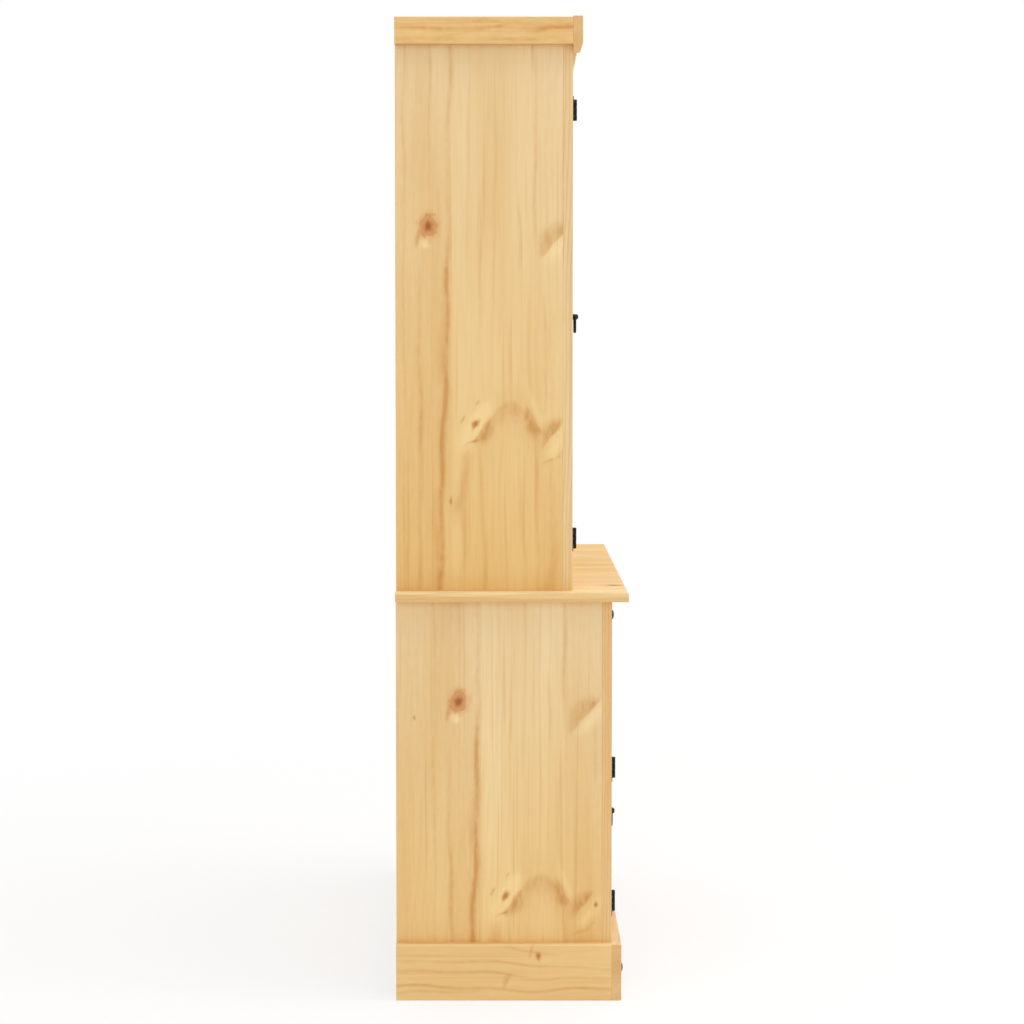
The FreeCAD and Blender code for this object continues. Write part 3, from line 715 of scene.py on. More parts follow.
def add(tree, kind, inputs=(), out=None, stops=(), **settings):
    """Adds a node with its settings and links, and gives one of its outputs.

    The kind is one of those above or Blender's own. Inputs go by name, or in order to the
    sockets in use, and each is a value or another node's output. Stops are a ramp's places
    and colours.
    """
    node, own = KINDS.get(kind, (kind, {}))
    made = tree.nodes.new("ShaderNode" + node)
    for name, value in {**own, **settings}.items():
        setattr(made, name, value)
    if isinstance(inputs, dict):
        pairs = [(made.inputs[name], value) for name, value in inputs.items()]
    else:
        pairs = zip([socket for socket in made.inputs if socket.enabled], inputs)
    for socket, value in pairs:
        if isinstance(value, bpy.types.NodeSocket):
            tree.links.new(value, socket)
        else:
            socket.default_value = value
    if stops:
        ramp = made.color_ramp.elements
        while len(ramp) < len(stops):
            ramp.new(1)
        for element, (place, shade) in zip(ramp, stops):
            element.position = place
            element.color = shade
    if out:
        return made.outputs[out]
    return next((socket for socket in made.outputs if socket.enabled), made)


def new_finish(name):
    """A material with an empty node tree."""
    finish = bpy.data.materials.new(name)
    finish.use_nodes = True
    finish.node_tree.nodes.clear()
    return finish, finish.node_tree


def grey(level):
    """A level as a colour."""
    return (level, level, level, 1.0)


def read(tree, name, out="Fac"):
    """One of the fields that a shell's points carry."""
    return add(tree, "Attribute", out=out, attribute_name=name)


def principled(tree, inputs):
    """Makes the material's surface from the principled shader with these inputs."""
    shader = add(tree, "BsdfPrincipled", inputs)
    add(tree, "OutputMaterial", {"Surface": shader})


def grains(tree, place, lengths, detail):
    """A noise whose grains have the given lengths along the place's three axes."""
    cell = add(tree, "stretch", [place, [1 / length for length in lengths]])
    return add(tree, "TexNoise", {"Vector": cell, "Scale": 1, "Detail": detail})


def late_wood(tree, ring, saw):
    """How much late wood there is at a count of rings, by a saw tooth over each ring."""
    phase = add(tree, "fraction", [ring])
    return add(tree, "ValToRGB", [phase], stops=[(at, grey(level)) for at, level in saw])


def layered(tree, shade, layers):
    """A shade with others laid over it in turn, each by its own factor."""
    for factor, over in layers:
        shade = add(tree, "mix", [factor, shade, over])
    return shade


def waxed(tree, shade, fibre, late, gloss=0.35):
    """The satin wax over pine: pale edges, partly rubbed wear and partly a painted highlight, darker end grain and
    a fine relief of fibres.
    """
    edge = read(tree, "edge")
    end = read(tree, "end")
    # Rounded edges are mixed paler: partly rubbed wear, partly a painted highlight where they catch the light
    rubbed_and_highlit = add(tree, "times", [edge, 0.14])
    soaked = add(tree, "times", [end, 0.45])
    shade = add(tree, "mix", [rubbed_and_highlit, shade, linear("#F8E4B8")])
    shade = add(tree, "tint", [soaked, shade, linear("#E9C795")])
    rough = add(tree, "MapRange", [fibre, 0.2, 0.8, 0.42, 0.58])
    height = add(tree, "times_plus", [late, -0.5, fibre])
    bump = add(tree, "Bump", {"Strength": 0.15, "Distance": 0.4 * MM, "Height": height})
    inputs = {"Base Color": shade, "Roughness": rough, "Normal": bump, "IOR": 1.48}
    principled(tree, {**inputs, "Specular IOR Level": gloss})


def sawn_pine(pine, name, tint, gloss=0.35):
    """Sawn pine under satin wax, whose rings and knots run through the solid board.

    The eye sees pale early wood with thin late-wood lines, arched on the faces and curved on
    the end grain, fine fibres, and a few brown knots with a stain round them.
    """
    finish, tree = new_finish(name)
    timber = read(tree, "timber", "Vector")
    board = read(tree, "board")
    end = read(tree, "end")
    along, across, through = add(tree, "SeparateXYZ", [timber]).node.outputs

    # One knot at most in each cell of 420 by 120 mm, longer along the grain than across
    cell = add(tree, "stretch", [timber, (1 / 420, 1 / 120, 0)])
    place = add(tree, "cells", {"Vector": cell, "Scale": 1, "Randomness": 0.9}, "Position")
    away = add(tree, "offset", [cell, place])
    away = add(tree, "stretch", [away, (270, 120, 0)])
    far = add(tree, "length", [away])
    drawn = add(tree, "SeparateColor", [place.node.outputs["Color"]]).node.outputs
    radius = add(tree, "MapRange", [drawn[1], 0, 1, 4.5, 11])
    bare = add(tree, "below", [drawn[0], 0.6])
    knot = add(tree, "over", [far, radius])
    knot = add(tree, "times_plus", [bare, 40, knot])
    core = add(tree, "MapRange", [knot, 0.75, 1.1, 1, 0])
    halo = add(tree, "fade", [knot, 0.9, 3.4, 1, 0])

    # Rings are cylinders round the pith, swayed over 600 mm and pushed out by the knots
    sway = grains(tree, timber, (600, 90, 90), 2)
    section = add(tree, "CombineXYZ", [0, across, through])
    ring = add(tree, "length", [section])
    for push, amount in ((sway, 34), (along, 0.013), (halo, 10)):
        ring = add(tree, "times_plus", [push, amount, ring])
    ring = add(tree, "over", [ring, pine.ring])
    late = late_wood(tree, ring, [(0, 0.45), (0.1, 0.03), (0.55, 0.1), (0.9, 1.0), (1, 0.45)])

    # Fibres about 2 mm wide and 80 mm long, drawn coarse enough to show; bands 50 mm wide
    fibre = grains(tree, timber, (80, 1.8, 1.8), 3)
    band = grains(tree, timber, (900, 50, 50), 1)

    band = add(tree, "MapRange", [band, 0.3, 0.7])
    faint = add(tree, "MapRange", [end, 0, 1, 0.34, 0.14])
    line = add(tree, "times", [late, faint])
    streak = add(tree, "MapRange", [fibre, 0.42, 0.75, 0, 0.28])
    stained = add(tree, "times", [halo, 0.45])
    heart = [(0, linear("#5E3019")), (0.35, pine.knot), (0.6, pine.halo), (0.85, pine.knot)]
    heart = add(tree, "ValToRGB", [knot], stops=heart)
    layers = [(band, pine.middle), (line, pine.late), (streak, pine.late)]
    layers += [(stained, pine.halo), (core, heart)]
    shade = layered(tree, pine.pale, layers)
    own = add(tree, "MapRange", [board, -1, 1, 0.2, 1])
    shade = add(tree, "tint", [own, shade, linear(tint)])
    waxed(tree, shade, fibre, late, gloss)
    return finish


def figured_pine(pine):
    """Wide glued pine boards under satin wax, with the figure that their tables give.

    The eye sees soft upright streaks, a red-brown knot, a pale swirl joined to a leaf-shaped
    flame by a tan arch, and fine fibres between; the wood is more golden towards the foot.
    """
    finish, tree = new_finish("waxed pine side boards")
    timber = read(tree, "timber", "Vector")
    gold = read(tree, "board")
    figure = read(tree, "figure", "Vector")
    growth, stain, knot = add(tree, "SeparateXYZ", [figure]).node.outputs

    # Rings cut nearly flat lie about 17 mm apart on the face
    sway = grains(tree, timber, (330, 33, 33), 3)
    ring = add(tree, "times_plus", [sway, 34, growth])
    ring = add(tree, "over", [ring, 17])
    late = late_wood(tree, ring, [(0, 0.5), (0.12, 0.05), (0.6, 0.12), (0.92, 1.0), (1, 0.5)])

    # Fibres 3 mm wide, thin dark resin lines 5 mm apart and up to 300 mm long, bands 80 mm wide
    fibre = grains(tree, timber, (120, 3, 3), 3)
    resin = grains(tree, timber, (300, 5, 5), 0)
    band = grains(tree, timber, (700, 80, 80), 2)

    # Torn edges of the figure, 8 mm across and 20 mm along
    torn = grains(tree, timber, (20, 8, 8), 3)
    share = add(tree, "MapRange", [torn, 0.3, 0.7, 0.68, 1.32])
    stain = add(tree, "times", [stain, share])
    reach = add(tree, "MapRange", [torn, 0.3, 0.7, 0.8, 1.2])
    knot = add(tree, "times", [knot, reach])

    band = add(tree, "MapRange", [band, 0.3, 0.7, 0.1, 0.9])
    line = add(tree, "times", [late, 0.06])
    streak = add(tree, "MapRange", [fibre, 0.42, 0.78, 0, 0.13])
    drawn = add(tree, "MapRange", [resin, 0.66, 0.84, 0, 0.26])
    dark = add(tree, "MapRange", [stain, 0, 1, 0, 0.8])
    glow = add(tree, "MapRange", [stain, 0, -0.7, 0, 0.6])
    halo = add(tree, "fade", [knot, 1, 1.9, 0.4, 0])
    core = add(tree, "fade", [knot, 0.86, 1.16, 0.94, 0])
    heart = ((0, "#8E4A20"), (0.3, "#A9632F"), (0.52, "#C98A52"), (0.8, "#D69C62"), (1, "#C48D54"))
    heart = add(tree, "ValToRGB", [knot], stops=[(at, linear(code)) for at, code in heart])
    layers = [(band, pine.middle), (line, pine.late), (streak, pine.late), (drawn, pine.stain)]
    layers += [(dark, pine.stain), (glow, linear("#F8E2B2")), (halo, pine.halo), (core, heart)]
    shade = layered(tree, pine.pale, layers)
    shade = add(tree, "tint", [gold, shade, linear("#FEF1CF")])
    waxed(tree, shade, fibre, late)
    return finish


def forged_iron(iron):
    """Forged iron under black wax: near-black, faintly hammered, lighter brown on high edges, partly rubbed wear
    and partly a painted highlight.
    """
    finish, tree = new_finish("black waxed iron")
    place = add(tree, "TexCoord", out="Object")
    edge = read(tree, "edge")
    # Forge scale of about 1 mm and hammer marks of about 5 mm
    scale = add(tree, "TexNoise", {"Vector": place, "Scale": 1 / (1.1 * MM), "Detail": 4})
    dents = add(tree, "dents", {"Vector": place, "Scale": 1 / (5 * MM), "Smoothness": 0.8})
    high = add(tree, "MapRange", [scale, 0.35, 0.7])
    # Edges are mixed towards the lighter colour: partly wear, partly a painted highlight
    rub_and_highlight = add(tree, "times", [edge, high])
    shade = add(tree, "mix", [rub_and_highlight, iron.black, iron.worn_and_highlit])
    spread = [0.3, 0.7, iron.roughness - 0.1, iron.roughness + 0.12]
    rough = add(tree, "MapRange", [scale, *spread])
    height = add(tree, "times_plus", [scale, 0.25, dents])
    bump = add(tree, "Bump", {"Strength": 0.35, "Distance": 0.6 * MM, "Height": height})
    inputs = {"Base Color": shade, "Roughness": rough, "Normal": bump, "Metallic": 0.7}
    principled(tree, inputs)
    return finish


def window_glass():
    """Drawn soda-lime window glass: clear, faintly green, with slow waves about 70 mm wide.

    It lets shadow and diffuse rays through, so light reaches the shelves behind it, and its
    reflection is drawn fainter than the real one, so that they show.
    """
    finish, tree = new_finish("drawn window glass")
    place = add(tree, "TexCoord", out="Object")
    waves = grains(tree, place, (70 * MM, 70 * MM, 250 * MM), 1)
    bump = add(tree, "Bump", {"Strength": 0.08, "Distance": 2 * MM, "Height": waves})
    rays = add(tree, "LightPath").node.outputs
    passing = add(tree, "larger", [rays["Is Shadow Ray"], rays["Is Diffuse Ray"]])
    solid = add(tree, "minus", [1, passing])
    clear = {"Base Color": linear("#FBFDF9"), "Transmission Weight": 1.0, "IOR": 1.52}
    faint = {"Specular Tint": grey(0.45), "Roughness": 0.01, "Normal": bump, "Alpha": solid}
    principled(tree, {**clear, **faint})
    return finish


FINISHES = {}
TINTS = {
    "pine_board": ("sawn pine boards", "#FBEED6"),
    "pine_frame": ("sawn pine strips", "#FAE9CC"),
    "pine_moulding": ("sawn pine mouldings", "#F5DFB8"),
    "pine_inner": ("bare pine inside", "#FDF3E1"),
    "worktop": ("sawn pine worktop", "#FFF2AC", 0.1),
}


def finish_of(slot):
    """The finish for one of the record's material slots, made when it is first asked for."""
    scene = bpy.context.scene
    if slot not in FINISHES:
        if slot == "iron":
            FINISHES[slot] = forged_iron(scene.highboard_iron)
        elif slot == "glass":
            FINISHES[slot] = window_glass()
        elif slot == "figured":
            FINISHES[slot] = figured_pine(scene.highboard_pine)
        else:
            FINISHES[slot] = sawn_pine(scene.highboard_pine, *TINTS[slot])
    return FINISHES[slot]


def centred(width, middle=0):
    """A span of the given width round its middle."""
    return (middle - width / 2, middle + width / 2)


def opened(piece):
    """The span of the opening for a door or drawer: its own and the reveals."""
    return (piece[0] - REVEAL, piece[1] + REVEAL)


def base_boards():
    """Straight boards of the base: for each node its boards in the middle and on the right."""
    inside = BASE_SIDE[0]
    full = (-inside, inside)
    rail = BASE_SIDE[1] - STILE
    door_zs = opened(DOORS["base"][Z])
    drawer_zs = opened(DRAWER[Z])
    rails = [(span("base_rails", Z)[0], door_zs[0])]
    rails += [(door_zs[1], drawer_zs[0]), (drawer_zs[1], WORKTOP_ZS[0])]
    shelf_zs = span("base_shelves", Z)
    shelf_depth = (BASE_FRAME[1] + SHELF_SETBACK, INNER_BACK)
    low, high = span("drawer_guides", Z)
    guide_zs = (low, low + GUIDE_HEIGHT)
    kicker_zs = (high - KICKER_HEIGHT, high)
    middle = {
        "base_floor": [(X, full, BASE_DEPTH, span("base_floor", Z))],
        "drawer_deck": [(X, full, BASE_DEPTH, span("drawer_deck", Z))],
        "base_shelves": [(X, (-DIVIDER[0], DIVIDER[0]), BASE_DEPTH, shelf_zs)],
        "base_stiles": [(Z, centred(MULLION), BASE_FRAME, drawer_zs)],
        "base_rails": [(X, (-rail, rail), BASE_FRAME, zs) for zs in rails],
        "drawer_guides": [
            (Y, centred(MIDDLE_GUIDE), BASE_DEPTH, guide_zs),
            (Y, centred(MIDDLE_KICKER), BASE_DEPTH, kicker_zs),
        ],
    }
    right = {
        "base_dividers": [(Z, DIVIDER, BASE_DEPTH, span("base_dividers", Z))],
        "base_shelves": [(X, (DIVIDER[1], inside), shelf_depth, shelf_zs)],
        "base_stiles": [
            (Z, (rail, BASE_SIDE[1]), BASE_FRAME, span("base_stiles", Z)),
            (Z, centred(MULLION, POST), BASE_FRAME, door_zs),
        ],
        "drawer_guides": [
            (Y, (inside - GUIDE_WIDTH, inside), BASE_DEPTH, guide_zs),
            (Y, (inside - KICKER_WIDTH, inside), BASE_DEPTH, kicker_zs),
        ],
    }
    return middle, right


def hutch_boards():
    """Straight boards of the hutch: for each node its boards in the middle and on the right."""
    inside = HUTCH_SIDE[0]
    full = (-inside, inside)
    rail = HUTCH_SIDE[1] - STILE
    door_zs = opened(DOORS["hutch"][Z])
    frame_zs = span("hutch_stiles", Z)
    rails = (frame_zs[0], door_zs[0]), (door_zs[1], frame_zs[1])
    shelf_depth = (HUTCH_FRAME[1] + SHELF_SETBACK, INNER_BACK)
    low, high = span("hutch_shelves", Z)
    levels = (low, low + BOARD), (high - BOARD, high)
    middle = {
        "hutch_top": [(X, full, HUTCH_DEPTH, span("hutch_top", Z))],
        "hutch_floor": [(X, full, HUTCH_DEPTH, span("hutch_floor", Z))],
        "hutch_shelves": [(X, (-DIVIDER[0], DIVIDER[0]), shelf_depth, zs) for zs in levels],
        "hutch_rails": [(X, (-rail, rail), HUTCH_FRAME, zs) for zs in rails],
    }
    low, high = span("door_catches", Z)
    catch_zs = {BASE_FRAME: (low, low + CATCH_HEIGHT), HUTCH_FRAME: (high - CATCH_HEIGHT, high)}
    catch_xs = (DIVIDER[1], span("door_catches", X)[1])
    catches = []
    for (_, inner), zs in catch_zs.items():
        front = inner + CATCH_CLEARANCE
        catches.append((Z, catch_xs, (front, front + CATCH_DEPTH), zs))
    right = {
        "hutch_dividers": [(Z, DIVIDER, HUTCH_DEPTH, span("hutch_dividers", Z))],
        "hutch_shelves": [(X, (DIVIDER[1], inside), shelf_depth, zs) for zs in levels],
        "hutch_stiles": [
            (Z, (rail, HUTCH_SIDE[1]), HUTCH_FRAME, frame_zs),
            (Z, centred(MULLION, POST), HUTCH_FRAME, door_zs),
        ],
        "door_catches": catches,
    }
    return middle, right


class HIGHBOARD_OT_ends(Operator):
    """Build the figured boards that show on the two ends: sides, plinth and cornice"""

    bl_idname = "highboard.ends"
    bl_label = "End boards"

    def execute(self, context):
        ease = context.scene.highboard_pine.ease
        rounds = (ease / 2, ease, ease)
        for level, shift in (("hutch", (0, 0)), ("base", BASE_FIGURE_SHIFT)):
            xs = span(f"{level}_side_right", X)
            for side, sign in SIDES.items():
                node = f"{level}_side_{side}"
                spans = span(node, Y), span(node, Z)
                shell = Shell(level)
                add_figured(shell, sign, xs, (Y, Z, X), spans, rounds, SIDE_FIGURE, shift, (1, 0))
                shell.build(node, "board", "figured")
        for node, table, top_round, gold in (
            ("plinth_sides", PLINTH_FIGURE, PLINTH_ROUND, 0.7),
            ("cornice_sides", CORNICE_FIGURE, ease, 0.9),
        ):
            spans = span(node, Z), span(node, Y)
            outer = span(node, X)[1]
            xs = (outer - BOARD, outer)
            rounds = (ease, top_round, ease)
            shell = Shell(node)
            for sign in SIDES.values():
                add_figured(shell, sign, xs, (Z, Y, X), spans, rounds, table, (0, 0), (gold, gold))
            shell.build(node, "boards", "figured")
        return {"FINISHED"}


class HIGHBOARD_OT_carcass(Operator):
    """Build the straight boards of the carcasses and face frames"""

    bl_idname = "highboard.carcass"
    bl_label = "Carcass boards"

    def execute(self, context):
        ease = context.scene.highboard_pine.ease
        for middle, right in (base_boards(), hutch_boards()):
            for node in sorted({*middle, *right}):
                shell = Shell(node)
                for grain, *spans in middle.get(node, ()):
                    add_board(shell, grain, spans, ease)
                for grain, *spans in right.get(node, ()):
                    add_board(shell, grain, spans, ease)
                    add_board(shell, grain, mirrored(spans), ease)
                shell.build(node, "boards")
        return {"FINISHED"}


class HIGHBOARD_OT_backs(Operator):
    """Build the backs from upright planks with V joints"""

    bl_idname = "highboard.backs"
    bl_label = "Planked backs"

    def execute(self, context):
        for node in ("hutch_back", "base_back"):
            half = span(node, X)[1]
            zs = span(node, Z)
            count = int((half - PLANK_PITCH / 4) // PLANK_PITCH)
            joints = np.arange(-count, count + 1) * PLANK_PITCH
            edges = [-half, *joints, half]
            shell = Shell(node)
            ease = (PLANK_GROOVE, PLANK_GROOVE, PLANK_GROOVE / 2, PLANK_GROOVE / 2)
            for left, right in zip(edges[:-1], edges[1:]):
                section = eased(rectangle((left, right), (INNER_BACK, BACK)), ease)
                shell.add(carried(section, rounded_run(*zs, TIGHT_JOINT, TIGHT_JOINT), Z), Z)
            shell.build(node, "planks")
        return {"FINISHED"}


class HIGHBOARD_OT_worktop(Operator):
    """Build the worktop from boards that run front to back, rounded over along its upper edge"""

    bl_idname = "highboard.worktop"
    bl_label = "Worktop"

    step_across = 20
    step_along = 40

    def execute(self, context):
        (left, right), (front, _), (low, high) = spans_of("worktop")
        joints = np.linspace(left, right, WORKTOP_BOARDS + 1)
        along = grid_lines(front, BACK, (WORKTOP_ROUND, TIGHT_JOINT), self.step_along)
        shell = Shell("worktop")
        for start, end in zip(joints[:-1], joints[1:]):
            rounds = [WORKTOP_ROUND if x in (left, right) else TIGHT_JOINT for x in (start, end)]
            across = grid_lines(start, end, rounds, self.step_across)
            a, l = np.meshgrid(across, along, indexing="ij")
            drops = [round_over(a - start, rounds[0]), round_over(end - a, rounds[1])]
            drops += [round_over(l - front, WORKTOP_ROUND), round_over(BACK - l, TIGHT_JOINT)]
            drop = np.max(drops, axis=0)
            under = np.full(len(across), low)
            shell.add(relief((X, Y, Z), across, along, high - drop, under, drop > TIGHT_JOINT), Y)
        shell.build("worktop", "boards", "worktop")
        return {"FINISHED"}


class HIGHBOARD_OT_scallops(Operator):
    """Build the arched plinth board and the scalloped cornice board"""

    bl_idname = "highboard.scallops"
    bl_label = "Plinth and cornice fronts"

    # Length of the low ends and rise of the scallops
    arches = {"plinth": (95, 34), "cornice": (8, 32)}
    slope_depth = 5.5
    slope_height = 18

    def execute(self, context):
        ease = context.scene.highboard_pine.ease
        for name, (end_length, rise) in self.arches.items():
            node = name + "_front"
            (_, half), (front, back), (low, high) = spans_of(node)
            section = scalloped(half, end_length, low, rise, high, ease)
            run = rounded_run(front, back, ease, ease / 2)
            if name == "cornice":
                surface = self.sloped(section, run, front, low + rise + ease)
            else:
                surface = carried(section, run, Y)
            shell = Shell(name)
            shell.add(surface, X)
            shell.build(node, "board")
        return {"FINISHED"}

    def sloped(self, section, run, front, level):
        """A section carried back from the front, with a slope under the part below a level.

        Over the slope's depth, a lower point rises by the slope's height times its share of
        the way from the slope's foot to the front.
        """
        foot = front + self.slope_depth
        place = np.searchsorted(run[0], foot)
        run = [np.insert(part, place, value) for part, value in zip(run, (foot, 0, 0.6))]
        points, faces, edge = carried(section, run, Y)
        share = np.clip((foot - points[:, Y]) / self.slope_depth, 0, 1)
        lower = np.tile(section[0][:, 1] < level, len(run[0]))
        points[:, Z] += np.where(lower, self.slope_height * share, 0)
        return points, faces, edge


class HIGHBOARD_OT_doors(Operator):
    """Build the framed doors, with fielded panels below and glazing bars above"""

    bl_idname = "highboard.doors"
    bl_label = "Doors"

    # Width of the panel's bevel, and how far its back, slope and field lie behind the frame
    panel_bevel = 26
    panel_planes = (12, 6, 3)

    def execute(self, context):
        ease = context.scene.highboard_pine.ease
        for level, ((x0, x1), ys, (z0, z1)) in DOORS.items():
            inner = (x0 + DOOR_STILE, x1 - DOOR_STILE)
            opening = (z0 + DOOR_RAIL, z1 - DOOR_RAIL)
            for side, sign in SIDES.items():
                prefix = f"{level}_{side}_door"
                turned = turned_to(sign)
                shell = Shell(prefix)
                for xs in ((x0, inner[0]), (inner[1], x1)):
                    add_board(shell, Z, turned([xs, ys, (z0, z1)]), ease)
                for zs in ((z0, opening[0]), (opening[1], z1)):
                    add_board(shell, X, turned([inner, ys, zs]), ease)
                shell.build(prefix + "_frame", "boards")
                shell = Shell(prefix, 1)
                if level == "base":
                    planes = [ys[0] + depth for depth in self.panel_planes]
                    add_fielded(shell, turned([inner])[0], opening, planes, self.panel_bevel, Z)
                    shell.build(prefix + "_panel", "board")
                    continue
                low, high = span(prefix + "_bars", Z)
                for zs in ((low, low + BAR_HEIGHT), (high - BAR_HEIGHT, high)):
                    add_board(shell, X, turned([inner, span(prefix + "_bars", Y), zs]), ease)
                shell.build(prefix + "_bars", "strips")
                glass = frame["nodes"][prefix + "_glass"].data
                glass.materials.clear()
                glass.materials.append(finish_of("glass"))
        return {"FINISHED"}


class HIGHBOARD_OT_drawers(Operator):
    """Build the drawers with their fielded fronts and plain boxes"""

    bl_idname = "highboard.drawers"
    bl_label = "Drawers"

    front_bevel = 16
    front_slope = 4

    def execute(self, context):
        ease = context.scene.highboard_pine.ease
        (x0, x1), depth, (low, high) = spans_of("right_drawer_box")
        floor = low + DRAWER_FLOOR_RAISE
        inner = (x0 + DRAWER_WALL, x1 - DRAWER_WALL)
        groove = (inner[0] - DRAWER_GROOVE, inner[1] + DRAWER_GROOVE)
        boards = [
            (Y, (x0, inner[0]), depth, (low, high)),
            (Y, (inner[1], x1), depth, (low, high)),
            (X, inner, (depth[1] - DRAWER_WALL, depth[1]), (floor + DRAWER_FLOOR, high)),
            (X, groove, depth, (floor, floor + DRAWER_FLOOR)),
        ]
        xs, (front, back), zs = DRAWER
        for side, sign in SIDES.items():
            prefix = f"{side}_drawer"
            turned = turned_to(sign)
            shell = Shell(prefix)
            planes = (back, front + self.front_slope, front)
            add_fielded(shell, turned([xs])[0], zs, planes, self.front_bevel, X)
            shell.build(prefix + "_front", "board")
            shell = Shell(prefix, 1)
            for grain, *spans in boards:
                add_board(shell, grain, turned(spans), ease / 2)
            shell.build(prefix + "_box", "boards")
        return {"FINISHED"}


class HIGHBOARD_OT_hinges(Operator):
    """Build the butterfly hinges with their barrels and screws"""

    bl_idname = "highboard.hinges"
    bl_label = "Hinges"

    # A wing's outline and its screws' places, out from the pin and up
    wing = (
        (4.4, -BARREL_HALF), (4.4, BARREL_HALF), (13.4, 13.5), (30, WING_HALF),
        (33, 0), (30, -WING_HALF), (13.4, -13.5),
    )
    screws = ((26, 13), (26, -13), (19, 0))
    # Radii and heights at a knuckle's rounded end, in barrel radii
    knuckle_end = ((0.82, 0.0), (0.95, 0.06), (1.0, 0.18))

    def execute(self, context):
        for level, door in DOORS.items():
            face = door[Y][0]
            fixed = Shell(level)
            for side, sign in SIDES.items():
                node = f"{level}_{side}_door_hinges"
                low, high = span(node, Z)
                x, y, _ = pivots[f"{level}_{side}_door_hinge"]
                moving = Shell(level)
                for z in (low + WING_HALF, high - WING_HALF):
                    self.add_leaf(fixed, (x, y, z), face, sign, True)
                    self.add_leaf(moving, (x, y, z), face, -sign, False)
                moving.build(node, "wings")
            fixed.build(level + "_hinge_leaves", "wings")
        return {"FINISHED"}

    def add_leaf(self, shell, centre, face, sign, fixed):
        """Half a hinge: its wing, its knuckles round the pin, their tabs and the screws."""
        x, y, z = centre
        add_plate(shell, [(x + sign * a, z + b) for a, b in self.wing], face)
        outer = (KNUCKLE_HALF + KNUCKLE_GAP, BARREL_HALF)
        spans = [(-outer[1], -outer[0]), outer] if fixed else [(-KNUCKLE_HALF, KNUCKLE_HALF)]
        for low, high in spans:
            start = [(BARREL * r, low + BARREL * h) for r, h in self.knuckle_end]
            end = [(BARREL * r, high - BARREL * h) for r, h in reversed(self.knuckle_end)]
            shell.add(revolved(start + end, (x, y, z), (0, 0, 1)))
            tab = sorted((x, x + sign * (BARREL + PLATE_ROUND)))
            inside = (z + low + KNUCKLE_GAP, z + high - KNUCKLE_GAP)
            add_plate(shell, rectangle(tab, inside), face, PLATE_ROUND / 2)
        for a, b in self.screws:
            # Each slot points its own way
            lean = 25 * a + 40 * b
            add_screw(shell, x + sign * a, face - LEAF, z + b, lean)


def spear(x, z, across, along, lying):
    """A backplate's outline with a spear point at each end, upright or lying.

    From the middle, its sides are straight to 0.42 of the half length, then draw in to 0.4 of
    the half width at 0.6 of the half length and meet at the tip.
    """
    half = across / 2
    tip = along / 2
    quarter = [(half, 0.42 * tip), (0.4 * half, 0.6 * tip), (0, tip)]
    right = [(a, -b) for a, b in reversed(quarter)] + quarter[:-1]
    outline = right + [(-a, -b) for a, b in right]
    return [(x + b, z - a) if lying else (x + a, z + b) for a, b in outline]


def add_post(shell, x, plane, z, half, reach, head):
    """A square forged post: a rounded square carried forward and drawn in to a blunt pyramid."""
    section = eased(rectangle((x - half, x + half), (z - half, z + half)), 0.27 * half)
    rim = plane - reach + head
    stops = np.array([plane - LEAF, rim, rim - 0.5, plane - reach + 0.4, plane - reach])
    insets = half * np.array([0, 0, 0.07, 0.36, 0.51])
    shell.add(carried(section, (stops, insets, np.array([0, 0.7, 0.9, 0.8, 0.3])), Y))


class HIGHBOARD_OT_door_pulls(Operator):
    """Build the drop pulls of the four doors"""

    bl_idname = "highboard.door_pulls"
    bl_label = "Door pulls"

    # The plate's width and length; the post's half width, reach and head
    plate = (24, 66)
    post = (5.3, 17, 3)
    screw_rise = 19
    # The drop, from its pin: half width, levels, the slot's half width and foot, and thickness
    half = 10
    top = 2.4
    shoulder = -14
    tip = -31.5
    slot = (5.9, -13)
    thick = 5.6
    pin = 1.6
    # Radii and heights of the pin's head, in pin radii
    head = ((1.4, -0.3), (1.4, 0.15), (1.1, 0.45), (0.5, 0.6), (0.05, 0.62))
    fork_ease = (0.5, 1.4, 1.0, 1.2)
    side_ease = 0.4
    tip_ease = 0.8

    def execute(self, context):
        for level, door in DOORS.items():
            face = door[Y][0]
            for side in SIDES:
                x, y, z = pivots[f"{level}_{side}_drop_pivot"]
                prefix = f"{level}_{side}_pull"
                mount = Shell(prefix)
                add_plate(mount, spear(x, z, *self.plate, False), face)
                add_post(mount, x, face, z, *self.post)
                for rise in (-self.screw_rise, self.screw_rise):
                    add_screw(mount, x, face - LEAF, z + rise, 30 + rise)
                mount.build(prefix + "_plate", "forged")
                drop = Shell(prefix, 1)
                self.add_drop(drop, x, y, z)
                drop.build(prefix + "_drop", "forged")
        return {"FINISHED"}

    def add_drop(self, shell, x, y, z):
        """The drop's outline carried through its thickness, and its pin with domed heads.

        Below the shoulder, a share s of the way round to the tip, the edge lies at the half
        width times (1 - s^2.2), lower by the tip's drop times s^0.85.
        """
        s = np.linspace(0, 1, 9)[1:-1]
        level = self.shoulder + (self.tip - self.shoulder) * s**0.85
        side = np.stack([self.half * (1 - s**2.2), level], 1)
        right = [(self.half, self.shoulder), (self.half, self.top)]
        right += [(self.slot[0], self.top), self.slot]
        fork = right + [(-a, b) for a, b in reversed(right)]
        outline = np.array([*fork, *(side * (-1, 1)), (0, self.tip), *side[::-1]])
        side_ease = [self.side_ease] * len(side)
        ease = [*self.fork_ease, *reversed(self.fork_ease), *side_ease, self.tip_ease, *side_ease]
        half = self.thick / 2
        run = rounded_run(y - half, y + half, half / 2, half / 2)
        shell.add(carried(eased(outline + (x, z), ease, 2), run, Y))
        for sign in (-1, 1):
            head = [(self.pin * r, self.half + self.pin * h) for r, h in self.head]
            shell.add(revolved(head, (x, y, z), (sign, 0, 0), 16))
        reach = 0.8 * self.half
        shell.add(revolved([(self.pin, -reach), (self.pin, reach)], (x, y, z), (1, 0, 0), 16))


